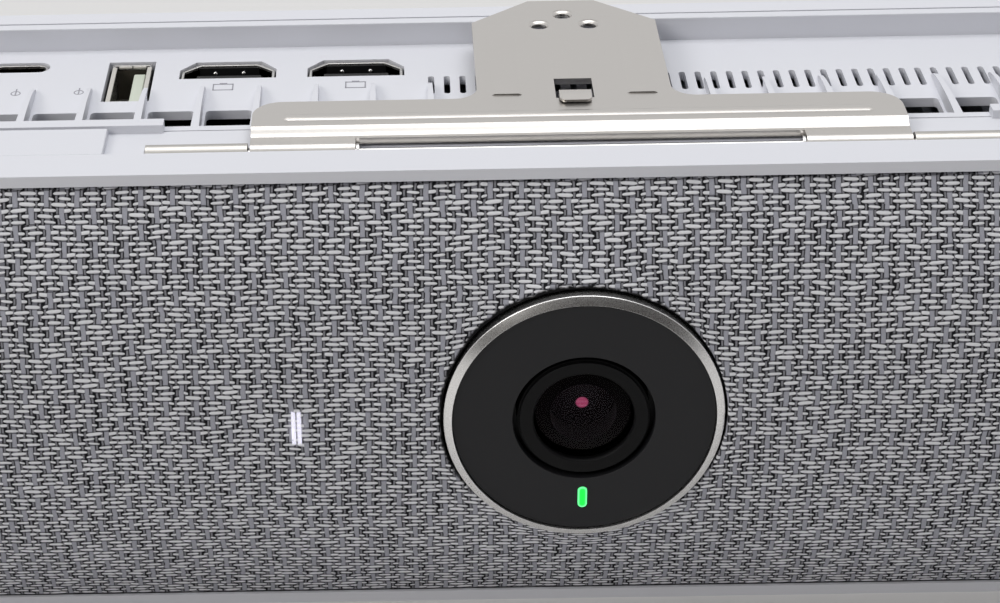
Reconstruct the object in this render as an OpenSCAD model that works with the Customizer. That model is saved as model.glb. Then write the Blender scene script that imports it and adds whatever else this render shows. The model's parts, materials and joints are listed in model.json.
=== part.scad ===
// Conference camera bar, lying on its top cover with its underside facing up.
// X runs along the bar, Y from the camera towards the back, Z up from the face it rests on.

/* [Body] */
// Length of the bar
body_w = 500; // [440:10:600]
// Height from the resting face to the rim of the underside
body_h = 77; // [76:0.5:82]
// Depth from the camera ring to the back
body_d = 76; // [75:0.5:84]
// Wall thickness of the housing
housing_wall = 2.2; // [1.8:0.1:2.8]
// Corner radius of the bar seen from the front
face_r = 9; // [8:0.5:12]
// Radius of the rear edge on the resting side
back_r = 14; // [8:1:18]
// Radius of the rear ends seen from above
end_r = 12; // [6:1:16]
// Height at which the back starts to lean towards the rim
back_turn = 45; // [35:1:55]
// How far the rear edge of the rim lies in front of the back
rim_set = 7.8; // [6:0.1:9]
// Depth from the camera ring to the front lips
lip_d = 8.9; // [8.4:0.1:9.4]
// Height of the lips above and below the fabric
lip_h = 1.8; // [1.6:0.1:2.2]

/* [Fabric front] */
// Radius of the curved front seen from the side
front_r = 80; // [74:1:100]
// How far the fabric lies behind the camera ring
fabric_set = 0.4; // [0.3:0.05:0.8]
// Thickness of the woven cover
fabric_t = 0.9; // [0.6:0.1:1.2]
// Thickness of the plastic grille behind the fabric
grille_t = 2.2; // [1.8:0.1:2.6]
// Radius of the fabric ends seen from above
front_end_r = 9; // [8:0.5:12]
// Gap between the fabric and the lips
grille_gap = 0.3; // [0.2:0.05:0.5]

/* [Camera] */
// Height of the camera above the middle of the bar
cam_rise = 0.75; // [0:0.25:2]
// Outer radius of the trim ring
ring_r = 21; // [20.5:0.1:22]
// Inner radius of the trim ring
ring_in_r = 19.7; // [19.2:0.05:19.8]
// How far the ring's face slopes back to its outer edge
ring_slope = 0.75; // [0.2:0.05:1]
// Depth of the trim ring
ring_d = 4.6; // [4.4:0.1:5.2]
// How far the disc lies behind the ring's edge
disc_set = 0.55; // [0.4:0.05:0.8]
// Thickness of the camera disc
disc_t = 1.6; // [1.4:0.1:2]
// Radius of the lens opening in the disc
lens_hole_r = 10.65; // [10.3:0.05:11]
// Outer radius of the lens barrel
barrel_r = 9.95; // [9.4:0.05:10.1]
// Radius of the front lens
glass_r = 7.7; // [7.2:0.1:8]
// Distance of the indicator light from the lens axis
led_drop = 14.1; // [13.5:0.1:15]
// Width of the indicator light
led_w = 1.38; // [1.2:0.02:1.6]
// Length of the indicator light
led_l = 3.6; // [3:0.1:4]

/* [Connector bay] */
// Distance from the power socket to the end of the bay
bay_end = 32; // [26:1:42]
// Depth of the bay floor below the rim
bay_depth = 3.95; // [3.6:0.05:4.4]
// Thickness of the bay floor
floor_t = 1.5; // [1.3:0.1:1.8]
// Width of the flat front band
band_w = 7; // [6.8:0.1:7.4]
// How far the hinge shelf lies below the rim
shelf_drop = 1.35; // [1.2:0.05:1.5]
// Width of the hinge shelf
shelf_w = 11.75; // [11.5:0.1:12.5]
// Width of the rim behind the bay
rim_w = 6; // [5.4:0.1:7]
// Width of the rear rail, the front part of that rim
rear_strip = 2; // [1.8:0.1:2.4]
// Spacing of the ribs along the bay
rib_pitch = 9; // [9:0.1:11]
// Length of a rib along the floor
rib_l = 19; // [17:0.5:20]
// Thickness of a rib at its foot
rib_t = 1.3; // [1:0.1:1.6]
// Length of the openings between the ribs
cell_l = 10.7; // [9:0.1:11.5]
// Spacing of the air vents
vent_pitch = 2.5; // [2.3:0.1:3]
// Width of a vent
vent_w = 1; // [0.8:0.05:1.2]
// Length of a vent
vent_l = 6.5; // [5.5:0.1:7]

/* [Bracket] */
// Width of the bracket's base strip
bracket_w = 97.8; // [96:0.2:100]
// Sheet thickness of the bracket
sheet_t = 1; // [0.8:0.05:1.1]
// Radius of the hinge pin
pin_r = 0.6; // [0.5:0.02:0.65]
// Running clearance between the pin and the bracket's knuckles
pin_fit = 0.05; // [0.02:0.01:0.08]
// Length of each bracket knuckle
knuckle_l = 15.6; // [14:0.2:18]
// Length of each fixed knuckle
leaf_l = 15.2; // [14:0.2:18]
// Half the width of the tab
tab_half = 14.85; // [14:0.1:16]
// Half the width of the tab's end
tab_end_half = 5.4; // [4:0.1:7]
// Screw hole radius in the tab
tab_hole_r = 1.2; // [1:0.05:1.4]
// Spacing of the two front screw holes
tab_hole_gap = 8; // [7.6:0.1:9]
// Distance of the third screw hole behind them
tab_hole_step = 4.05; // [4:0.05:4.6]

/* [Connectors] */
// Width of the display sockets
hdmi_w = 15; // [14.6:0.1:15.2]
// Depth of the display sockets
hdmi_h = 5.7; // [5.4:0.1:5.9]
// Width of the wide serial socket
usb_a_w = 6.4; // [6:0.1:6.8]
// Length of the wide serial socket
usb_a_l = 14.3; // [14:0.1:14.5]
// Length of the small serial socket
usb_c_l = 9.2; // [9:0.1:9.6]
// Width of the small serial socket
usb_c_w = 3.4; // [3.3:0.05:3.5]
// Clearance round each socket in the bay floor
port_gap = 0.3; // [0.2:0.05:0.4]

/* [Hidden] */

$fn = 48;
over = 1; // how far cuts run past a face
arc_steps = 16;
half_w = body_w / 2;
mid_z = body_h / 2;
cam_z = mid_z + cam_rise;

// Back of the housing: an arc from the vertical back to the rim
rim_d = body_d - rim_set;
lean_h = body_h - back_turn;
lean_d = rim_set;
lean_r = (lean_h * lean_h + lean_d * lean_d) / (2 * lean_d);
lean_a = asin(lean_h / lean_r);
seam = 0.15; // gap between parts that slip into each other
parting = 0.25; // gap between the cover and the rear rim
rim_step = 6; // depth of the rim that holds the cover
bay_rear = rim_d - rim_w; // depth from the camera ring to the bay's rear wall
rim_in = bay_rear + rear_strip + parting;
open_half = half_w - face_r;

// Grille and fabric
grille_seat = 4; // how far the grille reaches behind the lips
grille_back = lip_d + grille_seat;
pocket_gap = 0.2;
pocket_d = grille_back + pocket_gap;
glue_t = 0.05;
grille_set = fabric_t + glue_t; // distance from the fabric's face to the grille's
cam_hole_gap = 0.42; // gap between the ring and the fabric's edge
cam_hole_r = ring_r + cam_hole_gap;
swell_set = 1.9; // how far the pushed-out fabric round the camera lies behind the ring
swell_h = 5; // height of that swelling
swell_w = 9; // its width on each side of the hole
grille_back_mid = fabric_set + grille_set + grille_t; // back of the grille on the camera's level

// Bay
floor_z = body_h - bay_depth;
floor_low = floor_z - floor_t;
shelf_z = body_h - shelf_drop;
band_back = lip_d + band_w;
shelf_back = band_back + shelf_w;
band_foot = 2.4; // thickness of the wall under the band
end_plate_t = 2.2; // thickness of the cover beyond the bay
first_rib = 3.85; // distance of the first rib from the middle
rib_tip_t = 0.6;
cell_frame = 0.5; // solid strip left beside each rib
cell_r = 0.7;
ledge_in = 62.4; // inner end of the raised ledges
ledge_w = 2.3;
vent_first = -21.64; // place of the first vent along the bar
vent_count = 48;
vent_from = 15.75; // from the rear wall to the middle of the vents
vent_mid = bay_rear - vent_from;
joint_back = 1.5; // from the shelf's rear edge to the joint of rail and tray

// Hinge
barrel_out = sheet_t + pin_r;
hinge_gap = 0.35;
hinge_y = band_back + hinge_gap + barrel_out;
barrel_rise = 0.24; // how far the barrels stand above the rim
hinge_z = body_h + barrel_rise - barrel_out;
knuckle_gap = 0.35;
knuckle_in = bracket_w / 2 - knuckle_l;
leaf_in = bracket_w / 2 + knuckle_gap;
leaf_out = leaf_in + leaf_l;
leaf_fit = 0.02;
leaf_drop = 9;
leaf_foot = floor_low - leaf_drop;
leaf_boss = 5; // depth of the blocks that the leaves are screwed to
leaf_screw_r = 1.1;
leaf_screw_gap = 8;
leaf_screw_edge = 4;
leaf_screw_z = leaf_foot + leaf_screw_edge;
clip_r = 1.3;
clip_t = 0.4;
clip_gap = 0.15;

// Bracket plate
plate_lift = 0.3; // gap between the rim and the plate
plate_low = body_h + plate_lift;
plate_top = plate_low + sheet_t;
low_top = hinge_z + barrel_out;
bend_from = 2;
bend_w = 2;
bend_start = hinge_y + bend_from;
strip_w = 12.2;
strip_back = hinge_y + strip_w;
strip_corner = 4.5;
tab_fillet = 3.6;
tab_set = 1.05; // from the rim's rear edge to the tab's end
tab_taper = 8.5;
tab_hole_from = 9.7;
tab_end = rim_d - tab_set;
tab_shoulder = tab_end - tab_taper;
tab_holes = tab_end - tab_hole_from;
sink_r = 1.8;
sink_d = 0.45;
bead_half = 46;
bead_from = 6.5;
bead_y = hinge_y + bead_from;
bead_r = 2.6;
bead_h = 0.3;
flute_in = 8;
flute_out = 12.65;
flute_h = 0.22;
flute_slope = 0.5;
window_w = 5.8;
window_l = 5.7;
window_from = 0.9;
window_front = strip_back + window_from;
relief_w = 0.45;
relief_l = 1.2;
hook_t = 0.4;
hook_l = 3.2;
hook_rise = 0.95; // top of the hook above the plate
hook_drop = 0.35; // fall of the hook towards its tip
hook_r = 1;

// Lens
barrel_set = 0.6;
barrel_front = disc_set + barrel_set;
barrel_back = 18.6;
glass_set = 0.2;
glass_seat = barrel_front + glass_set;
glass_dome = 40; // radius of the front lens surface
glass_edge = 0.5;
inner_glass_r = 4.8;
inner_glass_y = 6.8;
inner_glass_t = 1.6;
inner_dome = 8;
barrel_wall = 1.2;
retainer_lap = 0.25;
retainer_w = 1.9;
retainer_t = 0.5;
ledge_r = 18.6;
holder_t = 2;
holder_ear = 30;
holder_ear_h = 10;
holder_screw = 26;
post_r = 1.6;
post_x = 11;
post_z = 13.4;
board_w = 28;
board_h = 34;
board_t = 1.2;
board_front = 20;
sensor_w = 10;
sensor_h = 8;
pipe_gap = 0.08;

// Status light behind the fabric
status_x = -42.7;
status_w = 0.7;
status_gap = 0.75;
status_h = 5.9;
status_up = 0.3;
status_z = mid_z + status_up;
status_front = fabric_set + grille_set + seam;
status_board_w = 9;
status_board_h = 10;
status_post = 3;
status_board_y = grille_back_mid + status_post;

// Microphones
mic_start = 50;
mic_board_w = 46;
mic_board_h = 8;
mic_board_t = 1;
mic_mid = mic_start + mic_board_w / 2;
mic_pitch = 15;
mic_hole_r = 0.8;
mic_can_w = 3.6;
mic_can_t = 1.1;
mic_lift = 1; // height of the pads behind the grille

// Connector places, X along the bar and Y behind the camera ring
hdmi_first = -54.3;
hdmi_pitch = 20.6;
hdmi_x = [hdmi_first, hdmi_first + hdmi_pitch];
hdmi_from = 8.7; // the sockets' distances from the bay's rear wall
usb_a_from = 12.4;
usb_c_from = 6.4;
jack_from = 12.2;
hdmi_y = bay_rear - hdmi_from;
hdmi_taper_w = 2.5;
hdmi_taper_share = 0.52;
shell_t = 0.45;
hdmi_tongue_w = 10.4;
hdmi_tongue_t = 1.3;
tongue_set = 1; // how far the contact tongues lie below a socket's mouth
usb_a_x = -70.05;
usb_a_y = bay_rear - usb_a_from;
usb_a_tongue_w = 1.9;
usb_a_tongue_l = 11.2;
usb_a_tongue_off = 1.2;
usb_c_x = -88.3;
usb_c_y = bay_rear - usb_c_from;
usb_c_tongue_w = 0.7;
usb_c_tongue_l = 6.7;
port_sink = 0.3; // how far the sockets lie below the bay floor
jack_x = -112;
jack_y = bay_rear - jack_from;
jack_w = 15.9;
jack_l = 13.6;
jack_in_w = 11.7;
jack_in_l = 8.6;
jack_contact_w = 8;
jack_contact_t = 0.8;
audio_first = -141;
audio_pitch = 11;
audio_x = [audio_first, audio_first + audio_pitch];
audio_y = jack_y;
audio_r = 3.2;
audio_bore_r = 1.8;
socket_floor = 1; // thickness at the bottom of the round sockets
audio_body = 8;
power_x = -158;
power_y = jack_y;
power_body = 11;
power_bore_r = 3.3;
power_pin_r = 1.25;
power_pin_set = 1; // how far the pin and the network contacts lie below the bay floor
bay_half = bay_end - power_x;
cover_half = open_half - seam;

// Boards inside
main_drop = 12.4;
main_top = floor_z - main_drop;
main_t = 1.6;
main_left = -172;
main_right = 108;
main_set = 8; // from the back of the bar to the board
main_l = 32;
main_back = body_d - main_set;
main_front = main_back - main_l;
boss_r = 3;
boss_edge = 4;
boss_left = -100; // the two inner bosses
boss_right = -12;
boss_x = [main_left + boss_edge, boss_left, boss_right, main_right - boss_edge];
boss_y = [main_front + boss_edge, bay_rear - boss_r];
screw_r = 1.2;
head_r = 2.3;
head_t = 1.6;
tongue_low = main_top + 2 * shell_t;
tongue_h = floor_z - port_sink - tongue_set - tongue_low;
shield_x = 50;
shield_w = 26;
shield_from = 6; // from the board's front edge
shield_y = main_front + shield_from;
shield_l = 18;
shield_h = 2;
sink_x = 18;
sink_w = 80;
sink_from = 2.5;
sink_y = main_front + sink_from;
sink_l = 24;
sink_base = 2;
sink_gap = 1;
sink_top = floor_low - sink_gap;
sink_fin_t = 1.2;
sink_fins = 18;

// Speakers
box_in = 118;
box_gap = 0.3;
box_end = 24;
box_out = half_w - box_end;
box_set = 14; // from the back of the bar to the box
box_back = body_d - box_set;
box_drop = 2.45; // from the board's screws down to the box
box_top = main_top - main_t - head_t - box_drop;
box_t = 2;
driver_x = (box_in + box_out) / 2;
driver_edge = 1.4;
driver_r = (box_top - housing_wall) / 2 - box_t - driver_edge;
driver_z = (box_top + housing_wall) / 2;
flange_w = 3.5;
driver_hole_r = driver_r - flange_w;
flange_t = 2;
driver_low = mid_z - driver_z + driver_r; // how far the driver reaches below the middle
grille_in_r = front_r - grille_set - grille_t;
driver_gap = 0.26;
driver_sag = grille_in_r - sqrt(grille_in_r * grille_in_r - driver_low * driver_low);
driver_front = grille_back_mid + driver_sag + driver_gap;
box_front = max(grille_back + box_gap, driver_front + flange_t);
cone_edge = 4.6;
cone_r = driver_r - cone_edge;
cone_t = 0.5;
cone_d = 6;
cap_r = 6;
cap_set = 1; // how far the cap's top lies behind the flange
basket_d = 12;
basket_t = 1;
magnet_edge = 10;
magnet_r = driver_r - magnet_edge;
magnet_t = 9;
grille_rows = 9;
grille_row_gap = 4.4;
grille_slot_h = 2.2;
grille_slot_w = 18;
grille_slot_step = 22;
antenna_w = 38;
antenna_l = 9;
antenna_t = 1;
antenna_end = 46;
antenna_x = box_out - antenna_end;
antenna_y = 34;

// Cover screws and their posts
cover_screw_end = 16.5;
cover_screw_x = half_w - cover_screw_end;
cover_screw_front = 15.1; // from the lips
cover_screw_rear = 8.2; // from the bay's rear wall
cover_screw_y = [lip_d + cover_screw_front, bay_rear - cover_screw_rear];
cover_post_r = 3.4;
cover_screw_l = 10;

// Label plate
label_out = 145;
label_from = 6.25; // from the fixed knuckle to the plate
label_in = leaf_out + label_from;
label_gap = 0.4;
label_t = 1.2;

white = [0.86, 0.87, 0.89];
steel = [0.69, 0.67, 0.64];
board_green = [0.1, 0.32, 0.2];
dark = [0.12, 0.12, 0.13];

// Everything is drawn from the camera ring backwards, then centred.
module seat() translate([0, -body_d / 2, 0]) children();

module both_sides() {
    children();
    mirror([1, 0, 0]) children();
}

function arc(cy, cz, r, from, to) = [
    for (i = [0:arc_steps])
        let (a = from + (to - from) * i / arc_steps)
            [cy + r * cos(a), cz + r * sin(a)]
];

// Outline of the housing seen from the side, drawn in by an inset
function back_outline(inset) = concat(
    [[lip_d, inset]],
    arc(body_d - back_r, back_r, back_r - inset, -90, 0),
    arc(body_d - lean_r, back_turn, lean_r - inset, 0, lean_a),
    [[lip_d, body_h - inset * sin(lean_a)]]);

// An outline in Y and Z drawn out along the bar
module along_bar(length) rotate([90, 0, 90]) linear_extrude(height = length, center = true) children();

module rounded_rect(w, h, r) {
    square([w - 2 * r, h], center = true);
    square([w, h - 2 * r], center = true);
    for (x = [-1, 1], y = [-1, 1]) translate([x * (w / 2 - r), y * (h / 2 - r)]) circle(r);
}

module pill(w, l) {
    square([w, l - w], center = true);
    for (y = [-1, 1]) translate([0, y * (l - w) / 2]) circle(w / 2);
}

// The bar seen from the front, drawn in by an inset
module face_prism(inset) translate([0, body_d / 2, mid_z]) rotate([90, 0, 0])
    linear_extrude(height = body_d + 2 * over, center = true)
        rounded_rect(body_w - 2 * inset, body_h - 2 * inset, face_r - inset);

// The bar seen from above, with round rear ends
module plan_prism(inset) translate([0, 0, -over]) linear_extrude(height = body_h + 2 * over) {
    w = body_w - 2 * inset;
    back = body_d - inset;
    r = end_r - inset;
    translate([-w / 2, -over]) square([w, back - r + over]);
    translate([-w / 2 + r, -over]) square([w - 2 * r, back + over]);
    for (x = [-1, 1]) translate([x * (w / 2 - r), back - r]) circle(r);
}

// The bulging front, drawn in by an inset
module front_solid(inset) intersection() {
    translate([0, fabric_set + front_r, mid_z]) rotate([0, 90, 0])
        cylinder(h = body_w, r = front_r - inset, center = true, $fn = 240);
    face_prism(lip_h + grille_gap + inset);
    front_plan(inset);
    translate([-half_w, -over, 0]) cube([body_w, grille_back + over, body_h]);
}

module front_plan(inset) translate([0, 0, -over]) linear_extrude(height = body_h + 2 * over) {
    half = half_w - lip_h - grille_gap - inset;
    front = fabric_set + inset;
    r = front_end_r - inset;
    translate([-half, front + r]) square([2 * half, grille_back - front - r]);
    translate([-half + r, front]) square([2 * (half - r), r + over]);
    for (x = [-1, 1]) translate([x * (half - r), front + r]) circle(r);
}

// The bulging front, pushed out round the camera
module swollen_front(inset) {
    front_solid(inset);
    translate([0, swell_set + inset, 0]) on_axis()
        cylinder(h = swell_h, r1 = cam_hole_r, r2 = cam_hole_r + swell_w, $fn = 144);
}

// Room for the fabric front in the housing and the cover
module front_pocket() intersection() {
    face_prism(lip_h);
    translate([-half_w, -over, 0]) cube([body_w, pocket_d + over, body_h]);
}

// Turns a shape drawn along Z so that it runs back from the camera ring
module on_axis() translate([0, 0, cam_z]) rotate([-90, 0, 0]) children();

module tube(h, r_out, r_in) difference() {
    cylinder(h = h, r = r_out);
    translate([0, 0, -over]) cylinder(h = h + 2 * over, r = r_in);
}

module housing() color(white) seat() {
    difference() {
        intersection() {
            along_bar(body_w) polygon(back_outline(0));
            face_prism(0);
            plan_prism(0);
        }
        difference() {
            intersection() {
                along_bar(body_w) polygon(concat([[lip_d - over, housing_wall]], back_outline(housing_wall),
                    [[lip_d - over, body_h]]));
                face_prism(housing_wall);
                plan_prism(housing_wall);
            }
            translate([-half_w, -over, body_h - rim_step]) cube([body_w, body_d + 2 * over, rim_step + over]);
        }
        translate([-open_half, lip_d - over, body_h - rim_step - over])
            cube([2 * open_half, rim_in - lip_d + over, rim_step + 2 * over]);
        front_pocket();
    }
    both_sides() for (y = cover_screw_y) translate([cover_screw_x, y, housing_wall])
        tube(body_h - end_plate_t - housing_wall, cover_post_r, screw_r);
}

// Profile of a rib: a quarter ellipse from the shelf's edge down to the floor
module rib(x) translate([x, shelf_back, floor_z]) intersection() {
    rise = shelf_z - floor_z;
    rotate([90, 0, 90]) linear_extrude(height = rib_t, center = true)
        polygon(concat([[-over, -floor_t]], [[-over, rise]],
            [for (i = [0:arc_steps]) [rib_l * sin(90 * i / arc_steps), rise * cos(90 * i / arc_steps)]],
            [[rib_l, -floor_t]]));
    translate([0, 0, -floor_t]) linear_extrude(height = floor_t + rise)
        polygon([[-rib_t / 2, -over], [rib_t / 2, -over], [rib_tip_t / 2, rib_l], [-rib_tip_t / 2, rib_l]]);
}

function rib_places() = [for (x = first_rib; x < bay_half - rib_pitch / 2; x = x + rib_pitch) x];

module hdmi_outline(grow) {
    w = hdmi_w / 2 + grow;
    h = hdmi_h / 2 + grow;
    knee = hdmi_h * (hdmi_taper_share - 1 / 2);
    polygon([[-w, -h], [w, -h], [w, knee], [w - hdmi_taper_w, h], [hdmi_taper_w - w, h], [-w, knee]]);
}

module port_cuts() translate([0, 0, floor_low - over]) linear_extrude(height = floor_t + 2 * over) {
    for (x = hdmi_x) translate([x, hdmi_y]) hdmi_outline(port_gap);
    translate([usb_a_x, usb_a_y]) square([usb_a_w + 4 * port_gap, usb_a_l + 2 * port_gap], center = true);
    translate([usb_c_x, usb_c_y]) rotate(90) pill(usb_c_w + port_gap, usb_c_l + 2 * port_gap);
    translate([jack_x, jack_y]) square([jack_in_w + 2 * port_gap, jack_in_l + 2 * port_gap], center = true);
    for (x = audio_x) translate([x, audio_y]) circle(audio_r + port_gap);
    translate([power_x, power_y]) circle(power_bore_r + 2 * port_gap);
}

// Front band with the hinge shelf behind it
module front_rail() color(white) seat() {
    joint = shelf_back - joint_back - parting;
    difference() {
        union() {
            translate([-cover_half, lip_d, shelf_z - lip_h])
                cube([2 * cover_half, band_w, body_h - shelf_z + lip_h]);
            translate([-bay_half, band_back - band_foot, floor_low])
                cube([2 * bay_half, band_foot, body_h - floor_low]);
            translate([-bay_half, band_back - over, floor_low])
                cube([2 * bay_half, joint - band_back + over, shelf_z - floor_low]);
            both_sides() translate([leaf_in, hinge_y - barrel_out + sheet_t, leaf_foot])
                cube([leaf_l, leaf_boss, floor_z - leaf_foot]);
        }
        front_pocket();
        // seat of the hinge barrels and slots for the leaves
        translate([0, hinge_y, hinge_z]) rotate([0, 90, 0])
            cylinder(h = 2 * (leaf_out + hinge_gap), r = barrel_out + hinge_gap, center = true);
        translate([-leaf_out - hinge_gap, band_back, hinge_z])
            cube([2 * (leaf_out + hinge_gap), hinge_y - band_back, body_h]);
        both_sides() {
            translate([leaf_in - seam, hinge_y - barrel_out - seam, floor_low - over])
                cube([leaf_l + 2 * seam, sheet_t + 2 * seam, shelf_z - floor_low + over]);
            leaf_screw_spots() cylinder(h = sheet_t + leaf_boss + over, r = leaf_screw_r);
        }
    }
}

module leaf_screw_spots() for (x = [-1, 1])
    translate([leaf_in + leaf_l / 2 + x * leaf_screw_gap / 2, hinge_y - barrel_out, leaf_screw_z])
        rotate([-90, 0, 0]) children();

module rear_rail() color(white) seat() translate([-bay_half, bay_rear, floor_low])
    cube([2 * bay_half, rear_strip, body_h - floor_low]);

module rounded_slot(w, l) {
    square([w - 2 * cell_r, l], center = true);
    square([w, l - 2 * cell_r], center = true);
    for (x = [-1, 1], y = [-1, 1]) translate([x * (w / 2 - cell_r), y * (l / 2 - cell_r)]) circle(cell_r);
}

// Floor of the bay with its ribs, vents and socket openings
module connector_tray() color(white) seat() difference() {
    union() {
        joint = shelf_back - joint_back;
        translate([-bay_half, joint, floor_low]) cube([2 * bay_half, bay_rear - joint, floor_t]);
        translate([-bay_half, joint, floor_low]) cube([2 * bay_half, joint_back, shelf_z - floor_low]);
        both_sides() translate([ledge_in, shelf_back - ledge_w, shelf_z])
            cube([bay_half - ledge_in, ledge_w, body_h - shelf_z]);
        for (x = rib_places()) both_sides() rib(x);
        for (x = boss_x, y = boss_y) translate([x, y, main_top]) cylinder(h = floor_z - main_top, r = boss_r);
    }
    for (x = rib_places()) both_sides()
        translate([x + rib_pitch / 2, shelf_back + cell_l / 2, floor_low - over])
            linear_extrude(height = floor_t + 2 * over) rounded_slot(rib_pitch - rib_t - cell_frame, cell_l);
    for (k = [0:vent_count - 1]) translate([vent_first + k * vent_pitch, vent_mid, floor_low - over])
        linear_extrude(height = floor_t + 2 * over) pill(vent_w, vent_l);
    port_cuts();
    for (x = boss_x, y = boss_y) translate([x, y, main_top - over])
        cylinder(h = floor_low - main_top, r = screw_r);
}

module end_cover() seat() difference() {
    union() {
        translate([bay_half, band_back, body_h - end_plate_t])
            cube([cover_half - bay_half, bay_rear + rear_strip - band_back, end_plate_t]);
        translate([bay_half, band_back, floor_low])
            cube([rear_strip, bay_rear + rear_strip - band_back, body_h - floor_low]);
    }
    for (y = cover_screw_y) translate([cover_screw_x, y, body_h - end_plate_t - over]) {
        cylinder(h = end_plate_t + 2 * over, r = screw_r);
        translate([0, 0, end_plate_t + over - head_t]) cylinder(h = head_t + over, r = head_r + seam);
    }
}
module end_cover_right() color(white) end_cover();
module end_cover_left() color(white) mirror([1, 0, 0]) end_cover();

module label_plate() color(white) seat()
    translate([-label_out, band_back + label_gap, shelf_z])
        cube([label_out - label_in, shelf_w - ledge_w - 2 * label_gap, label_t]);

module grille_plate() color(dark) seat() {
    difference() {
        swollen_front(grille_set);
        front_solid(grille_set + grille_t);
        translate([0, -over, 0]) on_axis() cylinder(h = grille_back, r = cam_hole_r);
        both_sides() {
            grille_slots();
            mic_places(0) cylinder(h = grille_back, r = mic_hole_r);
        }
        status_bars(grille_back, seam);
    }
    // pads for the microphone boards, the camera holder and the status light
    lift = grille_back_mid - mic_lift / 2;
    both_sides() {
        for (x = [-1, 1]) translate([mic_mid + x * (mic_board_w - mic_board_h) / 2, lift, mid_z])
            rotate([-90, 0, 0]) cylinder(h = 3 * mic_lift / 2, r = post_r);
        translate([holder_screw, lift, cam_z]) rotate([-90, 0, 0])
            tube(ring_d - lift, 2 * post_r, screw_r);
    }
    for (z = [-1, 1]) translate([status_x, lift, status_z + z * (status_h / 2 + post_r)])
        rotate([-90, 0, 0]) cylinder(h = status_board_y - lift, r = post_r / 2);
}

module grille_slots() for (i = [0:grille_rows - 1], x = [-1, 1])
    translate([driver_x + x * grille_slot_step / 2, 0, mid_z + (i - (grille_rows - 1) / 2) * grille_row_gap])
        rotate([-90, 0, 0]) linear_extrude(height = grille_back)
            rotate(90) pill(grille_slot_h, grille_slot_w);

// The three microphones of a board, drawn towards the back
module mic_places(y) for (i = [-1:1])
    translate([mic_mid + i * mic_pitch, y, mid_z]) rotate([-90, 0, 0]) children();

module fabric_cover() color([0.6, 0.61, 0.64]) seat() difference() {
    swollen_front(0);
    swollen_front(fabric_t);
    translate([0, -over, 0]) on_axis() cylinder(h = grille_back, r = cam_hole_r);
}

// A shape seen from the front, turned about the lens axis
module ring_shape(points) on_axis() rotate_extrude($fn = 144) polygon(points);

module trim_ring() color([0.76, 0.75, 0.73]) seat() {
    step = disc_set + disc_t;
    ring_shape([[ring_in_r, 0], [ring_r, ring_slope], [ring_r, ring_d], [ledge_r, ring_d], [ledge_r, step],
        [ring_in_r, step]]);
}

module led_pill(from, to, grow) translate([0, 0, -led_drop]) on_axis() translate([0, 0, from])
    linear_extrude(height = to - from) pill(led_w + 2 * grow, led_l + 2 * grow);

module camera_disc() color([0.15, 0.15, 0.16]) seat() difference() {
    on_axis() translate([0, 0, disc_set]) cylinder(h = disc_t, r = ring_in_r - pipe_gap, $fn = 144);
    on_axis() cylinder(h = ring_d, r = lens_hole_r, $fn = 144);
    led_pill(0, ring_d, pipe_gap);
}

module lens_barrel() color([0.07, 0.07, 0.08]) seat() {
    mouth = glass_r + pipe_gap;
    bore = inner_glass_r + pipe_gap;
    seat_y = glass_seat + glass_sag() + glass_edge;
    inner_seat = inner_glass_y + inner_glass_t;
    ring_shape([[mouth, barrel_front], [barrel_r, barrel_front], [barrel_r, barrel_back],
        [inner_glass_r, barrel_back], [inner_glass_r - barrel_wall, barrel_back],
        [inner_glass_r - barrel_wall, inner_seat], [bore, inner_seat], [bore, seat_y], [mouth, seat_y]]);
}

function glass_sag() = glass_dome - sqrt(glass_dome * glass_dome - glass_r * glass_r);
function inner_sag() = inner_dome - sqrt(inner_dome * inner_dome - inner_glass_r * inner_glass_r);

// A lens: a dome in front of a flat rim, drawn from its axis
module lens(r, dome, apex, edge) {
    a = asin(r / dome);
    back = apex + dome - dome * cos(a) + edge;
    curve = [for (i = [0:arc_steps])
        let (t = a * i / arc_steps) [dome * sin(t), apex + dome - dome * cos(t)]];
    ring_shape(concat(curve, [[r, back], [0, back]]));
}

module lens_front_glass() color([0.2, 0.18, 0.25]) seat() lens(glass_r, glass_dome, glass_seat, glass_edge);

module lens_inner_glass() color([0.25, 0.15, 0.25]) seat()
    lens(inner_glass_r, inner_dome, inner_glass_y - inner_sag(), inner_glass_t);

module lens_retainer() color([0.1, 0.1, 0.11]) seat() ring_shape([[glass_r, barrel_front - retainer_t],
    [glass_r + retainer_w, barrel_front - retainer_t], [glass_r + retainer_w, barrel_front],
    [glass_r - retainer_lap, barrel_front]]);

module camera_holder() color([0.3, 0.3, 0.32]) seat() difference() {
    union() {
        on_axis() translate([0, 0, ring_d]) cylinder(h = holder_t, r = ring_r - pipe_gap);
        translate([-holder_ear, ring_d, cam_z - holder_ear_h / 2])
            cube([2 * holder_ear, holder_t, holder_ear_h]);
        on_axis() for (x = [-1, 1], z = [-1, 1]) translate([x * post_x, z * post_z, ring_d])
            cylinder(h = board_front - ring_d, r = post_r);
    }
    on_axis() cylinder(h = ring_d + holder_t + over, r = barrel_r + pipe_gap);
    led_pill(0, ring_d + holder_t + over, pipe_gap);
    both_sides() translate([holder_screw, 0, 0]) on_axis()
        cylinder(h = ring_d + holder_t + over, r = screw_r);
}

module camera_board() color(board_green) seat()
    translate([-board_w / 2, board_front, cam_z - board_h / 2]) cube([board_w, board_t, board_h]);

module image_sensor() color([0.2, 0.2, 0.3]) seat()
    translate([-sensor_w / 2, barrel_back, cam_z - sensor_h / 2])
        cube([sensor_w, board_front - barrel_back, sensor_h]);

module indicator_light_pipe() color([0.1, 0.9, 0.3]) seat() led_pill(disc_set, board_front, 0);

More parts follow.
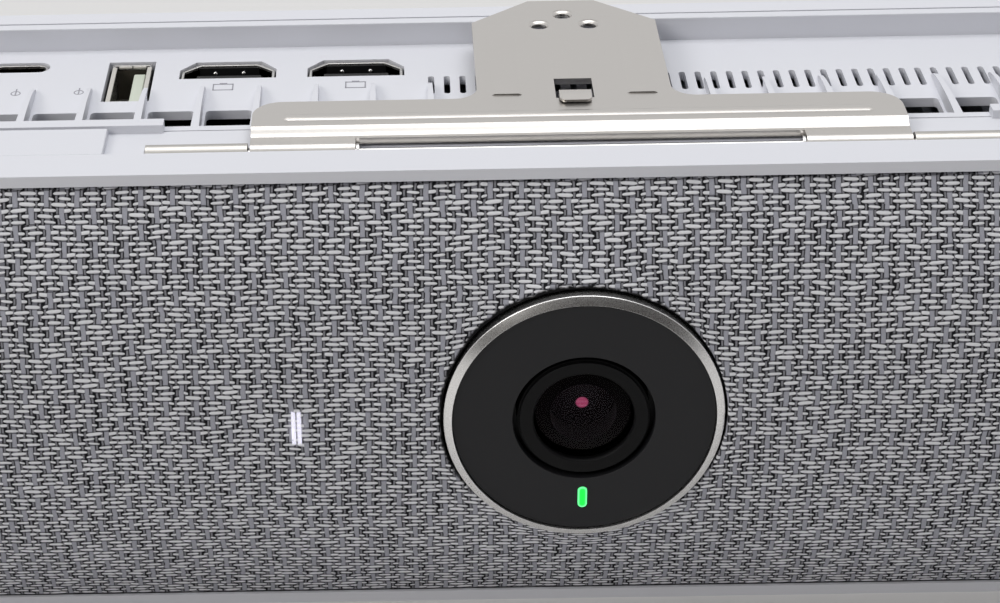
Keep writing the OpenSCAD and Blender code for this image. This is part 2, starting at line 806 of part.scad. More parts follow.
module status_bars(to, grow) for (x = [-1, 1])
    translate([status_x + x * status_gap, status_front - grow, status_z]) rotate([-90, 0, 0])
        linear_extrude(height = to - status_front + grow) pill(status_w + 2 * grow, status_h + 2 * grow);

module status_light_guide() color("white") seat() status_bars(status_board_y, 0);

module status_light_board() color(board_green) seat()
    translate([status_x - status_board_w / 2, status_board_y, status_z - status_board_h / 2])
        cube([status_board_w, board_t, status_board_h]);

module microphone_board() seat() {
    front = grille_back_mid + mic_lift;
    translate([mic_start, front, mid_z - mic_board_h / 2]) cube([mic_board_w, mic_board_t, mic_board_h]);
    mic_places(front + mic_board_t) linear_extrude(height = mic_can_t) square(mic_can_w, center = true);
}

module microphone_board_right() color(board_green) microphone_board();
module microphone_board_left() color(board_green) mirror([1, 0, 0]) microphone_board();

module main_board() color(board_green) seat() difference() {
    translate([main_left, main_front, main_top - main_t]) cube([main_right - main_left, main_l, main_t]);
    for (x = boss_x, y = boss_y) translate([x, y, main_top - main_t - over])
        cylinder(h = main_t + 2 * over, r = screw_r);
}

module processor_shield() color([0.7, 0.7, 0.72]) seat()
    translate([shield_x, shield_y, main_top]) cube([shield_w, shield_l, shield_h]);

module heat_sink() color([0.6, 0.61, 0.63]) seat() translate([sink_x, sink_y, main_top + shield_h]) {
    cube([sink_w, sink_l, sink_base]);
    for (i = [0:sink_fins - 1]) translate([i * (sink_w - sink_fin_t) / (sink_fins - 1), 0, 0])
        cube([sink_fin_t, sink_l, sink_top - main_top - shield_h]);
}

// A socket shell that stands on the main board and opens into the bay
module shell_height() translate([0, 0, main_top])
    linear_extrude(height = floor_z - port_sink - main_top) children();
module shell_floor() translate([0, 0, main_top]) linear_extrude(height = 2 * shell_t) children();

module hdmi_port(x) color([0.72, 0.71, 0.7]) seat() translate([x, hdmi_y, 0]) {
    shell_height() difference() {
        hdmi_outline(0);
        hdmi_outline(-shell_t);
    }
    shell_floor() hdmi_outline(0);
}
module hdmi_port_1() hdmi_port(hdmi_x[0]);
module hdmi_port_2() hdmi_port(hdmi_x[1]);

module hdmi_contacts() color(dark) seat() for (x = hdmi_x)
    translate([x - hdmi_tongue_w / 2, hdmi_y - hdmi_tongue_t / 2, tongue_low])
        cube([hdmi_tongue_w, hdmi_tongue_t, tongue_h]);

module usb_a_port() color([0.75, 0.74, 0.72]) seat() translate([usb_a_x, usb_a_y, 0]) {
    shell_height() difference() {
        square([usb_a_w, usb_a_l], center = true);
        square([usb_a_w - 2 * shell_t, usb_a_l - 2 * shell_t], center = true);
    }
    shell_floor() square([usb_a_w, usb_a_l], center = true);
}

module usb_a_tongue() color([0.85, 0.87, 0.8]) seat()
    translate([usb_a_x + usb_a_tongue_off - usb_a_tongue_w / 2, usb_a_y - usb_a_tongue_l / 2, tongue_low])
        cube([usb_a_tongue_w, usb_a_tongue_l, tongue_h]);

module usb_c_port() color([0.7, 0.7, 0.7]) seat() translate([usb_c_x, usb_c_y, 0]) rotate([0, 0, 90]) {
    shell_height() difference() {
        pill(usb_c_w, usb_c_l);
        pill(usb_c_w - 2 * shell_t, usb_c_l - 2 * shell_t);
    }
    shell_floor() pill(usb_c_w, usb_c_l);
}

module usb_c_tongue() color(dark) seat()
    translate([usb_c_x - usb_c_tongue_l / 2, usb_c_y - usb_c_tongue_w / 2, tongue_low])
        cube([usb_c_tongue_l, usb_c_tongue_w, tongue_h]);

module network_jack() color([0.7, 0.7, 0.7]) seat() translate([jack_x, jack_y, 0]) {
    translate([0, 0, main_top]) linear_extrude(height = floor_low - main_top) difference() {
        square([jack_w, jack_l], center = true);
        square([jack_in_w, jack_in_l], center = true);
    }
    shell_floor() square([jack_w, jack_l], center = true);
}

module network_jack_contacts() color([0.8, 0.65, 0.3]) seat()
    translate([jack_x - jack_contact_w / 2, jack_y - jack_in_l / 2, tongue_low])
        cube([jack_contact_w, jack_contact_t, floor_low - power_pin_set - tongue_low]);

module audio_jacks() color(dark) seat() for (x = audio_x) translate([x, audio_y, main_top]) difference() {
    union() {
        translate([-audio_body / 2, -audio_body / 2, 0]) cube([audio_body, audio_body, floor_low - main_top]);
        cylinder(h = floor_z - port_sink - main_top, r = audio_r);
    }
    translate([0, 0, socket_floor]) cylinder(h = floor_z - main_top, r = audio_bore_r);
}

module power_inlet() color(dark) seat() translate([power_x, power_y, main_top]) difference() {
    translate([-power_body / 2, -power_body / 2, 0]) cube([power_body, power_body, floor_low - main_top]);
    translate([0, 0, socket_floor]) cylinder(h = floor_z - main_top, r = power_bore_r);
}

module power_inlet_pin() color([0.75, 0.75, 0.75]) seat()
    translate([power_x, power_y, main_top + socket_floor])
        cylinder(h = floor_low - main_top - socket_floor - power_pin_set, r = power_pin_r);

module speaker_box() seat() difference() {
    w = box_out - box_in;
    l = box_back - box_front;
    h = box_top - housing_wall;
    translate([box_in, box_front, housing_wall]) cube([w, l, h]);
    translate([box_in + box_t, box_front + box_t, housing_wall + box_t])
        cube([w - 2 * box_t, l - 2 * box_t, h - 2 * box_t]);
    translate([driver_x, box_front - over, driver_z]) rotate([-90, 0, 0])
        cylinder(h = box_t + 2 * over, r = driver_hole_r);
}

module speaker_turned(points) seat() translate([driver_x, box_front, driver_z]) rotate([-90, 0, 0])
    rotate_extrude($fn = 72) polygon(points);

module speaker_frame() speaker_turned([[cone_r + seam, -flange_t], [driver_r, -flange_t], [driver_r, 0],
    [driver_hole_r - seam, 0], [magnet_r + seam, basket_d], [magnet_r + seam - basket_t, basket_d],
    [driver_hole_r - seam - basket_t, 0]]);

// A cone that falls back to the round cap in its middle
module speaker_cone() {
    front = [[0, cap_set], [cap_r, cone_d], [cone_r, 0]];
    back = [[cone_r, cone_t], [cap_r, cone_d + cone_t], [0, cap_set + cone_t]];
    speaker_turned([for (q = concat(front, back)) [q[0], q[1] - flange_t]]);
}

module speaker_magnet() speaker_turned([[0, basket_d], [magnet_r, basket_d], [magnet_r, basket_d + magnet_t],
    [0, basket_d + magnet_t]]);

module speaker_box_right() color(dark) speaker_box();
module speaker_box_left() color(dark) mirror([1, 0, 0]) speaker_box();
module speaker_frame_right() color([0.3, 0.3, 0.3]) speaker_frame();
module speaker_frame_left() color([0.3, 0.3, 0.3]) mirror([1, 0, 0]) speaker_frame();
module speaker_cone_right() color([0.18, 0.18, 0.18]) speaker_cone();
module speaker_cone_left() color([0.18, 0.18, 0.18]) mirror([1, 0, 0]) speaker_cone();
module speaker_magnet_right() color([0.5, 0.5, 0.52]) speaker_magnet();
module speaker_magnet_left() color([0.5, 0.5, 0.52]) mirror([1, 0, 0]) speaker_magnet();

module antenna() seat() translate([antenna_x, antenna_y, box_top]) cube([antenna_w, antenna_l, antenna_t]);
module antenna_right() color(board_green) antenna();
module antenna_left() color(board_green) mirror([1, 0, 0]) antenna();

module hinge_leaf() seat() difference() {
    union() {
        translate([leaf_in, hinge_y, hinge_z]) rotate([0, 90, 0]) cylinder(h = leaf_l, r = barrel_out);
        translate([leaf_in, hinge_y - barrel_out, leaf_foot]) cube([leaf_l, sheet_t, hinge_z - leaf_foot]);
    }
    translate([leaf_in - over, hinge_y, hinge_z]) rotate([0, 90, 0])
        cylinder(h = leaf_l + 2 * over, r = pin_r + leaf_fit);
    leaf_screw_spots() translate([0, 0, -over]) cylinder(h = sheet_t + 2 * over, r = leaf_screw_r);
}
module hinge_leaf_right() color(steel) hinge_leaf();
module hinge_leaf_left() color(steel) mirror([1, 0, 0]) hinge_leaf();

module hinge_pin() color([0.55, 0.5, 0.46]) seat() translate([0, hinge_y, hinge_z]) rotate([0, 90, 0])
    cylinder(h = 2 * leaf_out - 2 * seam, r = pin_r, center = true);

module hinge_clips() color([0.55, 0.55, 0.55]) seat() both_sides()
    translate([knuckle_in - clip_gap - clip_t, hinge_y, hinge_z]) rotate([0, 90, 0])
        tube(clip_t, clip_r, pin_r + leaf_fit);

module hinge_screws() color([0.6, 0.6, 0.6]) seat() both_sides() leaf_screw_spots() {
    translate([0, 0, -head_t]) cylinder(h = head_t, r = head_r);
    cylinder(h = leaf_boss, r = leaf_screw_r - leaf_fit);
}

module cover_screws() color([0.6, 0.6, 0.6]) seat() both_sides() for (y = cover_screw_y)
    translate([cover_screw_x, y, body_h - head_t]) difference() {
        union() {
            cylinder(h = head_t - seam, r = head_r);
            translate([0, 0, -cover_screw_l]) cylinder(h = cover_screw_l, r = screw_r - leaf_fit);
        }
        translate([0, 0, head_t / 3]) cylinder(h = head_t, r = screw_r, $fn = 6);
    }

module camera_screws() color([0.6, 0.6, 0.6]) seat() both_sides() translate([holder_screw, 0, 0]) on_axis() {
    translate([0, 0, ring_d + holder_t]) cylinder(h = head_t, r = head_r);
    translate([0, 0, grille_back_mid + box_gap])
        cylinder(h = ring_d + holder_t - grille_back_mid, r = screw_r - leaf_fit);
}

module board_screws() color([0.6, 0.6, 0.6]) seat() for (x = boss_x, y = boss_y)
    translate([x, y, main_top - main_t - head_t]) {
        cylinder(h = head_t, r = head_r);
        cylinder(h = head_t + main_t + boss_r, r = screw_r - leaf_fit);
    }

// Side profile of the bracket's strip: low at the hinge, then a soft step up to the plate
function step_share(s) = s * s * (3 - 2 * s);
function bend_points(lift) = [
    for (i = [0:arc_steps])
        let (s = i / arc_steps, fall = low_top - sheet_t)
            [bend_start + bend_w * s, fall + (plate_low - fall) * step_share(s) + lift]
];

module strip_profile(from) {
    upper = bend_points(sheet_t);
    polygon(concat([[from, low_top - sheet_t]], bend_points(0), [[strip_back, plate_low]],
        [[strip_back, plate_top]], [for (i = [arc_steps:-1:0]) upper[i]], [[from, low_top]]));
}

module quarter_gap(r) difference() {
    translate([-over, -over]) square(r + over);
    translate([r, r]) circle(r);
}

module tab_outline() {
    root = strip_back - sheet_t;
    polygon([[-tab_half, root], [tab_half, root], [tab_half, tab_shoulder], [tab_end_half, tab_end],
        [-tab_end_half, tab_end], [-tab_half, tab_shoulder]]);
    for (x = [-1, 1]) difference() {
        translate([x * (tab_half + tab_fillet / 2), strip_back + (tab_fillet - sheet_t) / 2])
            square([tab_fillet, tab_fillet + sheet_t], center = true);
        translate([x * (tab_half + tab_fillet), strip_back + tab_fillet]) circle(tab_fillet);
    }
}

module flute(x) translate([x * (flute_in + flute_out) / 2, strip_back + over, plate_top]) {
    w = (flute_out - flute_in) / 2;
    rotate([90, 0, 0]) mirror([0, 0, 1]) linear_extrude(height = tab_shoulder - strip_back - 2 * over)
        polygon([[-w, -flute_h], [-w, 0], [flute_slope - w, flute_h], [w - flute_slope, flute_h], [w, 0],
            [w, -flute_h]]);
}

module mount_bracket() color(steel) seat() difference() {
    union() {
        // strip between the knuckles, then the strip over each knuckle
        along_bar(2 * knuckle_in) strip_profile(bend_start - over / 2);
        both_sides() {
            translate([bracket_w / 2 - knuckle_l / 2, 0, 0]) along_bar(knuckle_l) strip_profile(hinge_y);
            translate([knuckle_in, hinge_y, hinge_z]) rotate([0, 90, 0])
                cylinder(h = knuckle_l, r = barrel_out);
        }
        translate([0, 0, plate_low]) linear_extrude(height = sheet_t) tab_outline();
        for (x = [-1, 1]) flute(x);
        hook();
        translate([0, bead_y, plate_top + bead_h - bead_r]) intersection() {
            union() {
                rotate([0, 90, 0]) cylinder(h = 2 * (bead_half - bead_r), r = bead_r, center = true);
                for (x = [-1, 1]) translate([x * (bead_half - bead_r), 0, 0]) sphere(bead_r);
            }
            translate([-bead_half, -bead_r, bead_r - bead_h - sheet_t / 2])
                cube([2 * bead_half, 2 * bead_r, sheet_t]);
        }
    }
    both_sides() {
        translate([knuckle_in - over, hinge_y, hinge_z]) rotate([0, 90, 0])
            cylinder(h = knuckle_l + 2 * over, r = pin_r + pin_fit);
        // round rear corners of the strip
        translate([bracket_w / 2, strip_back, plate_low - over]) linear_extrude(height = sheet_t + 2 * over)
            rotate(180) quarter_gap(strip_corner);
        tab_hole(tab_hole_gap / 2, tab_holes);
    }
    tab_hole(0, tab_holes + tab_hole_step);
    translate([-window_w / 2, window_front, plate_low - over]) cube([window_w, window_l, sheet_t + 2 * over]);
    both_sides() translate([window_w / 2 - relief_w, window_front - relief_l, plate_low - over])
        cube([relief_w, relief_l + over, sheet_t + 2 * over]);
}

module tab_hole(x, y) translate([x, y, plate_low]) {
    translate([0, 0, -over]) cylinder(h = sheet_t + 2 * over, r = tab_hole_r);
    translate([0, 0, sheet_t - sink_d]) cylinder(h = sink_d, r1 = tab_hole_r, r2 = sink_r);
}

// Small hook bent up from the window's front edge and forward over the plate
module hook() intersection() {
    root = window_front - hook_t;
    tip = window_front - hook_l;
    fall = hook_rise - hook_drop;
    w = window_w - 2 * relief_w;
    translate([0, 0, plate_top]) along_bar(w) polygon([[root, -sheet_t / 2], [window_front, -sheet_t / 2],
        [window_front, hook_rise - hook_t / 2], [root, hook_rise], [tip, fall], [tip, fall - hook_t],
        [root, hook_rise - hook_t]]);
    translate([0, tip + hook_l, plate_low]) linear_extrude(height = sheet_t + 2 * hook_rise)
        rounded_rect(w, 2 * hook_l, hook_r);
}

housing();
front_rail();
rear_rail();
connector_tray();
end_cover_left();
end_cover_right();
grille_plate();
fabric_cover();
trim_ring();
camera_disc();
lens_barrel();
lens_front_glass();
lens_inner_glass();
lens_retainer();
camera_holder();
camera_board();
image_sensor();
indicator_light_pipe();
status_light_guide();
status_light_board();
microphone_board_left();
microphone_board_right();
main_board();
processor_shield();
heat_sink();
hdmi_port_1();
hdmi_port_2();
hdmi_contacts();
usb_a_port();
usb_a_tongue();
usb_c_port();
usb_c_tongue();
network_jack();
network_jack_contacts();
audio_jacks();
power_inlet();
power_inlet_pin();
label_plate();
speaker_box_left();
speaker_box_right();
speaker_frame_left();
speaker_frame_right();
speaker_cone_left();
speaker_cone_right();
speaker_magnet_left();
speaker_magnet_right();
antenna_left();
antenna_right();
hinge_leaf_left();
hinge_leaf_right();
hinge_pin();
hinge_clips();
hinge_screws();
cover_screws();
camera_screws();
board_screws();
mount_bracket();
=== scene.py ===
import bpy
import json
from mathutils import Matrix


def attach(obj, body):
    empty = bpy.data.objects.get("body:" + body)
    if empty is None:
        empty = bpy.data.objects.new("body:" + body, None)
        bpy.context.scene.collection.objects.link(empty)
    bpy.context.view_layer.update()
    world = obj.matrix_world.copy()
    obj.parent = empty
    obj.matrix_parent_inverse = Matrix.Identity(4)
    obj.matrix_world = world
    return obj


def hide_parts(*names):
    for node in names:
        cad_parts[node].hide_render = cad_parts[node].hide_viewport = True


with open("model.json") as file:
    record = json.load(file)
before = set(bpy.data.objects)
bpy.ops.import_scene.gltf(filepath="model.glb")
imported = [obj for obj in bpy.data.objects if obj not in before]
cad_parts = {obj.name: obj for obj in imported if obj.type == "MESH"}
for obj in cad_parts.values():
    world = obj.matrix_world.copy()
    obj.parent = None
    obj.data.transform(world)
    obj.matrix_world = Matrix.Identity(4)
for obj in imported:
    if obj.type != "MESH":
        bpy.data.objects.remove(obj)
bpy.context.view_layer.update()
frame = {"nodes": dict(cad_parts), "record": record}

import json
import math

import bpy
from mathutils import Matrix, Vector

mm = 0.001  # in metres
perMetre = 1000
nodes = frame["nodes"]


# Objects and edit mode

def onlySelect(obj):
    bpy.ops.object.select_all(action="DESELECT")
    obj.select_set(True)
    bpy.context.view_layer.objects.active = obj


def applyModifier(obj, kind, **settings):
    onlySelect(obj)
    modifier = obj.modifiers.new(kind.lower(), kind)
    for setting, value in settings.items():
        setattr(modifier, setting, value)
    bpy.ops.object.modifier_apply(modifier=modifier.name)


def editAll(obj):
    onlySelect(obj)
    bpy.ops.object.mode_set(mode="EDIT")
    bpy.ops.mesh.select_all(action="SELECT")


def leaveEdit():
    bpy.ops.object.mode_set(mode="OBJECT")


mergeWithin = 0.002  # mm
flatWithin = 0.8  # degrees
smoothBelow = 35  # degrees


def copyOf(nodeName, pieceName):
    # a merged copy of a node's mesh, with its flat faces joined up again
    piece = bpy.data.objects.new(pieceName, nodes[nodeName].data.copy())
    bpy.context.scene.collection.objects.link(piece)
    piece.data.materials.clear()
    editAll(piece)
    bpy.ops.mesh.remove_doubles(threshold=mergeWithin * mm)
    bpy.ops.mesh.dissolve_limited(angle_limit=math.radians(flatWithin))
    leaveEdit()
    return piece


def boxOf(nodeName):
    # lowest and highest corner of a node in mm
    points = [vertex.co / mm for vertex in nodes[nodeName].data.vertices]
    return (Vector([min(point[i] for point in points) for i in range(3)]),
            Vector([max(point[i] for point in points) for i in range(3)]))


def block(low, high):
    # a box between two corners
    bpy.ops.object.select_all(action="DESELECT")
    bpy.ops.mesh.primitive_cube_add(size=1, location=[(a + b) / 2 * mm for a, b in zip(low, high)])
    made = bpy.context.active_object
    made.scale = [(b - a) * mm for a, b in zip(low, high)]
    bpy.ops.object.transform_apply(location=True, rotation=True, scale=True)
    return made


def joined(name, parts):
    bpy.ops.object.select_all(action="DESELECT")
    for part in parts:
        part.select_set(True)
    bpy.context.view_layer.objects.active = parts[0]
    bpy.ops.object.join()
    parts[0].name = name
    parts[0].data.name = name
    return parts[0]


def softEdges(piece, width, segments=2, angle=32):
    # rounds the edges and keeps the large faces flat
    applyModifier(piece, "BEVEL", width=width * mm, segments=segments, limit_method="ANGLE",
                  angle_limit=math.radians(angle), use_clamp_overlap=True, miter_outer="MITER_ARC")
    onlySelect(piece)
    bpy.ops.object.shade_smooth_by_angle(angle=math.radians(smoothBelow))
    applyModifier(piece, "WEIGHTED_NORMAL", weight=50, keep_sharp=True)


def settle(piece, material, slot, body, *replaced):
    # gives a piece its material and body and hides the nodes it stands for
    piece.data.materials.clear()
    piece.data.materials.append(material)
    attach(piece, body)
    if replaced:
        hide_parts(*replaced)


# Shader maths: a wire wraps a socket, and an expression on wires adds its nodes

class Wire:
    def __init__(self, finish, socket):
        self.finish = finish
        self.socket = socket

    def calc(self, operation, *values):
        return self.finish.node("ShaderNodeMath", {"operation": operation}, values)

    def __add__(self, other):
        return self.calc("ADD", self, other)

    def __radd__(self, other):
        return self.calc("ADD", other, self)

    def __sub__(self, other):
        return self.calc("SUBTRACT", self, other)

    def __rsub__(self, other):
        return self.calc("SUBTRACT", other, self)

    def __mul__(self, other):
        return self.calc("MULTIPLY", self, other)

    def __rmul__(self, other):
        return self.calc("MULTIPLY", other, self)

    def __truediv__(self, other):
        return self.calc("DIVIDE", self, other)

    def __rtruediv__(self, other):
        return self.calc("DIVIDE", other, self)

    def __pow__(self, other):
        return self.calc("POWER", self, other)

    def __gt__(self, other):
        return self.calc("GREATER_THAN", self, other)

    def __lt__(self, other):
        return self.calc("LESS_THAN", self, other)

    def __abs__(self):
        return self.calc("ABSOLUTE", self)

    def floor(self):
        return self.calc("FLOOR", self)

    def fract(self):
        return self.calc("FRACT", self)

    def sine(self):
        return self.calc("SINE", self)

    def asin(self):
        return self.calc("ARCSINE", self)

    def root(self):
        return self.calc("SQRT", self.calc("MAXIMUM", self, 0))

    def low(self, other):
        return self.calc("MINIMUM", self, other)

    def high(self, other):
        return self.calc("MAXIMUM", self, other)

    def ramp(self, start, end):
        # 0 before start, 1 after end, smooth between them
        return self.finish.node("ShaderNodeMapRange", {"interpolation_type": "SMOOTHSTEP", "clamp": True},
                                [self, start, end, 0, 1])


class Finish:
    def __init__(self, name, **fixed):
        self.material = bpy.data.materials.new(name)
        self.material.use_nodes = True
        self.tree = self.material.node_tree
        self.shader = self.tree.nodes["Principled BSDF"]
        for socketName, value in fixed.items():
            self.shader.inputs[socketName.replace("_", " ")].default_value = value

    def node(self, kind, settings=None, values=(), output=0):
        made = self.tree.nodes.new(kind)
        for setting, value in (settings or {}).items():
            setattr(made, setting, value)
        pairs = values.items() if isinstance(values, dict) else enumerate(values)
        for key, value in pairs:
            if isinstance(value, Wire):
                self.tree.links.new(value.socket, made.inputs[key])
            elif value is not None:
                made.inputs[key].default_value = value
        return Wire(self, made.outputs[output])

    def coords(self):
        return self.node("ShaderNodeTexCoord", output=3)

    def split(self, vector):
        parts = self.node("ShaderNodeSeparateXYZ", values=[vector]).socket.node
        return [Wire(self, parts.outputs[i]) for i in range(3)]

    def join(self, x, y, z):
        return self.node("ShaderNodeCombineXYZ", values=[x, y, z])

    def stretch(self, vector, scale):
        return self.node("ShaderNodeMapping", values={"Vector": vector, "Scale": scale})

    def noise(self, vector, scale, detail=2, rough=0.5):
        values = {"Vector": vector, "Scale": scale, "Detail": detail, "Roughness": rough}
        return self.node("ShaderNodeTexNoise", values=values)

    def random(self, vector):
        return self.node("ShaderNodeTexWhiteNoise", {"noise_dimensions": "3D"}, {"Vector": vector})

    def blend(self, factor, first, second):
        # mixes two colours
        made = self.node("ShaderNodeMix", {"data_type": "RGBA"}, output=2)
        mix = made.socket.node
        for socket, value in zip((mix.inputs[0], mix.inputs[6], mix.inputs[7]), (factor, first, second)):
            if isinstance(value, Wire):
                self.tree.links.new(value.socket, socket)
            else:
                socket.default_value = (*value, 1) if isinstance(value, (tuple, list)) else value
        return made

    def feed(self, socketName, wire):
        self.tree.links.new(wire.socket, self.shader.inputs[socketName])

    def bump(self, height, strength, distance):
        values = {"Height": height, "Strength": strength, "Distance": distance * mm}
        self.feed("Normal", self.node("ShaderNodeBump", values=values))


# Materials

def shaded(colour, share):
    return tuple(value * share for value in colour)


def mouldedPlastic(name, colour, roughness, grain, specular=0.5, speckle=0.05, tint=0.03):
    look = dict(cloudScale=38, grainScale=3400, grainDepth=0.012, smudgeScale=90, smudgeStretch=(1, 1.7, 1),
                dark=0.8)
    finish = Finish(name, Specular_IOR_Level=specular)
    place = finish.coords()
    clouds = finish.noise(place, look["cloudScale"], 3)
    fine = finish.noise(place, look["grainScale"], 2)
    finish.feed("Base Color", finish.blend(clouds * tint, colour, shaded(colour, look["dark"])))
    smudge = finish.noise(finish.stretch(place, look["smudgeStretch"]), look["smudgeScale"], 4)
    finish.feed("Roughness", roughness - speckle / 2 + smudge * speckle)
    finish.bump(fine, grain, look["grainDepth"])
    return finish.material


plainFinishes = {
    "charcoalPlastic": dict(colour=(0.0082, 0.0082, 0.0098), roughness=0.55, grain=0.25, specular=0.35),
    "retainerPlastic": dict(colour=(0.0026, 0.0026, 0.003), roughness=0.5, grain=0.2, specular=0.15),
    "blackPlastic": dict(colour=(0.004, 0.004, 0.0045), roughness=0.5, grain=0.3),
    "barrelBlack": dict(colour=(0.0012, 0.0012, 0.0015), roughness=0.6, grain=0.2, specular=0.12),
    "ivoryPlastic": dict(colour=(0.60, 0.64, 0.55), roughness=0.4, grain=0.2),
    "socketInsideShade": dict(colour=(0.040, 0.033, 0.024), roughness=0.5, grain=0.2),
    "lipIvory": dict(colour=(0.56, 0.54, 0.50), roughness=0.35, grain=0.1),
    "markGrey": dict(colour=(0.30, 0.30, 0.34), roughness=0.5, grain=0.1),
    "boardGreen": dict(colour=(0.01, 0.06, 0.025), roughness=0.35, grain=0.2),
    "speakerPaint": dict(colour=(0.02, 0.02, 0.022), roughness=0.4, grain=0.2),
}
materials = {name: mouldedPlastic(name, **look) for name, look in plainFinishes.items()}


def whitePlastic():
    look = dict(colour=(0.715, 0.725, 0.775), shade=(0.56, 0.565, 0.61), shadeShare=0.1, cloudScale=45,
                roughness=0.45, smudge=0.1, smudgeScale=120, grain=0.22, grainScale=2900, grainDepth=0.014,
                inside=(0.004, 0.004, 0.0045), insideX=235, insideY=(-28.5, 27), insideZ=(1, 71.4))
    finish = Finish("whitePlastic", Specular_IOR_Level=0.45)
    place = finish.coords()
    x, y, z = finish.split(place)
    clouds = finish.noise(place, look["cloudScale"], 3)
    fine = finish.noise(place, look["grainScale"], 2)
    base = finish.blend(clouds * look["shadeShare"], look["colour"], look["shade"])
    # painted shade: the inside of the shell is painted black, for the dark interior behind its openings
    (yFrom, yTo), (zFrom, zTo) = look["insideY"], look["insideZ"]
    deep = (z < zTo * mm) * (z > zFrom * mm) * (abs(x) < look["insideX"] * mm)
    deep = deep * (y > yFrom * mm) * (y < yTo * mm)
    finish.feed("Base Color", finish.blend(deep, base, look["inside"]))
    smudge = finish.noise(place, look["smudgeScale"], 4)
    finish.feed("Roughness", look["roughness"] + smudge * look["smudge"])
    finish.bump(fine, look["grain"], look["grainDepth"])
    return finish.material


def metal(name, colour, roughness, grain=0.12, stretch=(1, 1, 1), scale=900, depth=0.02, tint=0.08,
          paintedShadeBelow=None):
    look = dict(cloudScale=60, dark=0.75, spread=0.08, black=(0.004, 0.0035, 0.003))
    finish = Finish(name, Metallic=1.0)
    place = finish.coords()
    ripple = finish.noise(finish.stretch(place, stretch), scale, 3)
    clouds = finish.noise(place, look["cloudScale"], 3)
    base = finish.blend(clouds * tint, colour, shaded(colour, look["dark"]))
    if paintedShadeBelow:
        # painted shade: bright at its mouth and painted black further in, where the socket lies in shade
        deep = finish.split(place)[2] < paintedShadeBelow * mm
        base = finish.blend(deep, base, look["black"])
    finish.feed("Base Color", base)
    finish.feed("Roughness", roughness - look["spread"] / 2 + ripple * look["spread"])
    finish.bump(ripple, grain, depth)
    return finish.material


brightRim = 0.45  # mm of bright metal at a socket's mouth
socketMouth = max(boxOf(name)[1].z for name in ("hdmi_port_1", "hdmi_port_2", "usb_c_port")) - brightRim
drawn = dict(grain=0.16, stretch=(0.45, 1, 1), scale=1100, depth=0.03)
metalFinishes = {
    "nickelSteel": dict(colour=(0.52, 0.50, 0.475), roughness=0.31, **drawn),
    # painted shade: a darker copy of the nickel steel, dimming the lamp's highlight on the hinge leaves
    "nickelSteelShadedForLeaves": dict(colour=(0.44, 0.425, 0.40), roughness=0.36, **drawn),
    "brightSteel": dict(colour=(0.66, 0.65, 0.64), roughness=0.22),
    "socketMetal": dict(colour=(0.60, 0.59, 0.57), roughness=0.28, scale=1500),
    # painted shade: the display and small sockets are painted black below their mouth
    "socketMetalPaintedShade": dict(colour=(0.60, 0.59, 0.57), roughness=0.28, scale=1500, paintedShadeBelow=socketMouth),
    "ringMetal": dict(colour=(0.80, 0.79, 0.78), roughness=0.28, grain=0.006, scale=5500, depth=0.01,
                      tint=0.03),
    "sinkAluminium": dict(colour=(0.62, 0.63, 0.65), roughness=0.35, stretch=(0.2, 1, 1)),
    "goldContact": dict(colour=(0.80, 0.60, 0.28), roughness=0.25),
}
materials.update({name: metal(name, **look) for name, look in metalFinishes.items()})
materials["whitePlastic"] = whitePlastic()


def lensGlass():
    # smoky glass, coated so that it reflects little, with a trace of dust
    look = dict(coat=(0.06, 0.045, 0.06, 1), colour=(0.62, 0.60, 0.64), dusty=(0.36, 0.35, 0.38),
                dustScale=1700, dustEdge=(0.68, 0.8), dustShare=0.3, roughness=0.008, dustRoughness=0.08)
    finish = Finish("lensGlass", IOR=1.5, Transmission_Weight=1.0, Specular_Tint=look["coat"])
    dust = finish.noise(finish.coords(), look["dustScale"], 2).ramp(*look["dustEdge"])
    finish.feed("Base Color", finish.blend(dust * look["dustShare"], look["colour"], look["dusty"]))
    finish.feed("Roughness", look["roughness"] + dust * look["dustRoughness"])
    return finish.material


def lensWithPaintedGlint():
    # black, with a painted pink glint for its coating's reflection of a lamp and faint painted glowing rings
    # for the lenses behind it
    look = dict(middle=39.3, flatten=1.05, spotR=(0.73, 1.01), paintedGlint=(0.34, 0.035, 0.10),
                stripe=(0.47, 0.13, 0.22), stripeTurn=9, stripeShare=0.8, ring=(0.0022, 0.0008, 0.0012),
                ringTurn=11, ringFrom=0.7, ringGain=3.2, ringFade=(1.2, 4.2), black=(0.001, 0.001, 0.0012))
    finish = Finish("lensWithPaintedGlint", Roughness=0.1, Specular_IOR_Level=0.1, Emission_Strength=1.0)
    x, _, z = finish.split(finish.coords())
    dx = x / mm
    dz = (z / mm - look["middle"]) * look["flatten"]
    away = (dx * dx + dz * dz).root()
    paintedGlint = 1 - away.ramp(*look["spotR"])
    stripes = (dz * look["stripeTurn"]).sine() * 0.5 + 0.5
    waves = ((away * look["ringTurn"]).sine() - look["ringFrom"]).high(0) * look["ringGain"]
    rings = waves * (1 - away.ramp(*look["ringFade"]))
    paintedRingGlow = finish.blend(rings.low(1), (0.0, 0.0, 0.0), look["ring"])
    paintedGlintColour = finish.blend(stripes * look["stripeShare"], look["paintedGlint"], look["stripe"])
    # painted light: the glint and the rings glow as emission
    finish.feed("Emission Color", finish.blend(paintedGlint, paintedRingGlow, paintedGlintColour))
    finish.feed("Base Color", finish.blend(paintedGlint, look["black"], look["paintedGlint"]))
    return finish.material


materials["lensGlass"] = lensGlass()
materials["lensWithPaintedGlint"] = lensWithPaintedGlint()


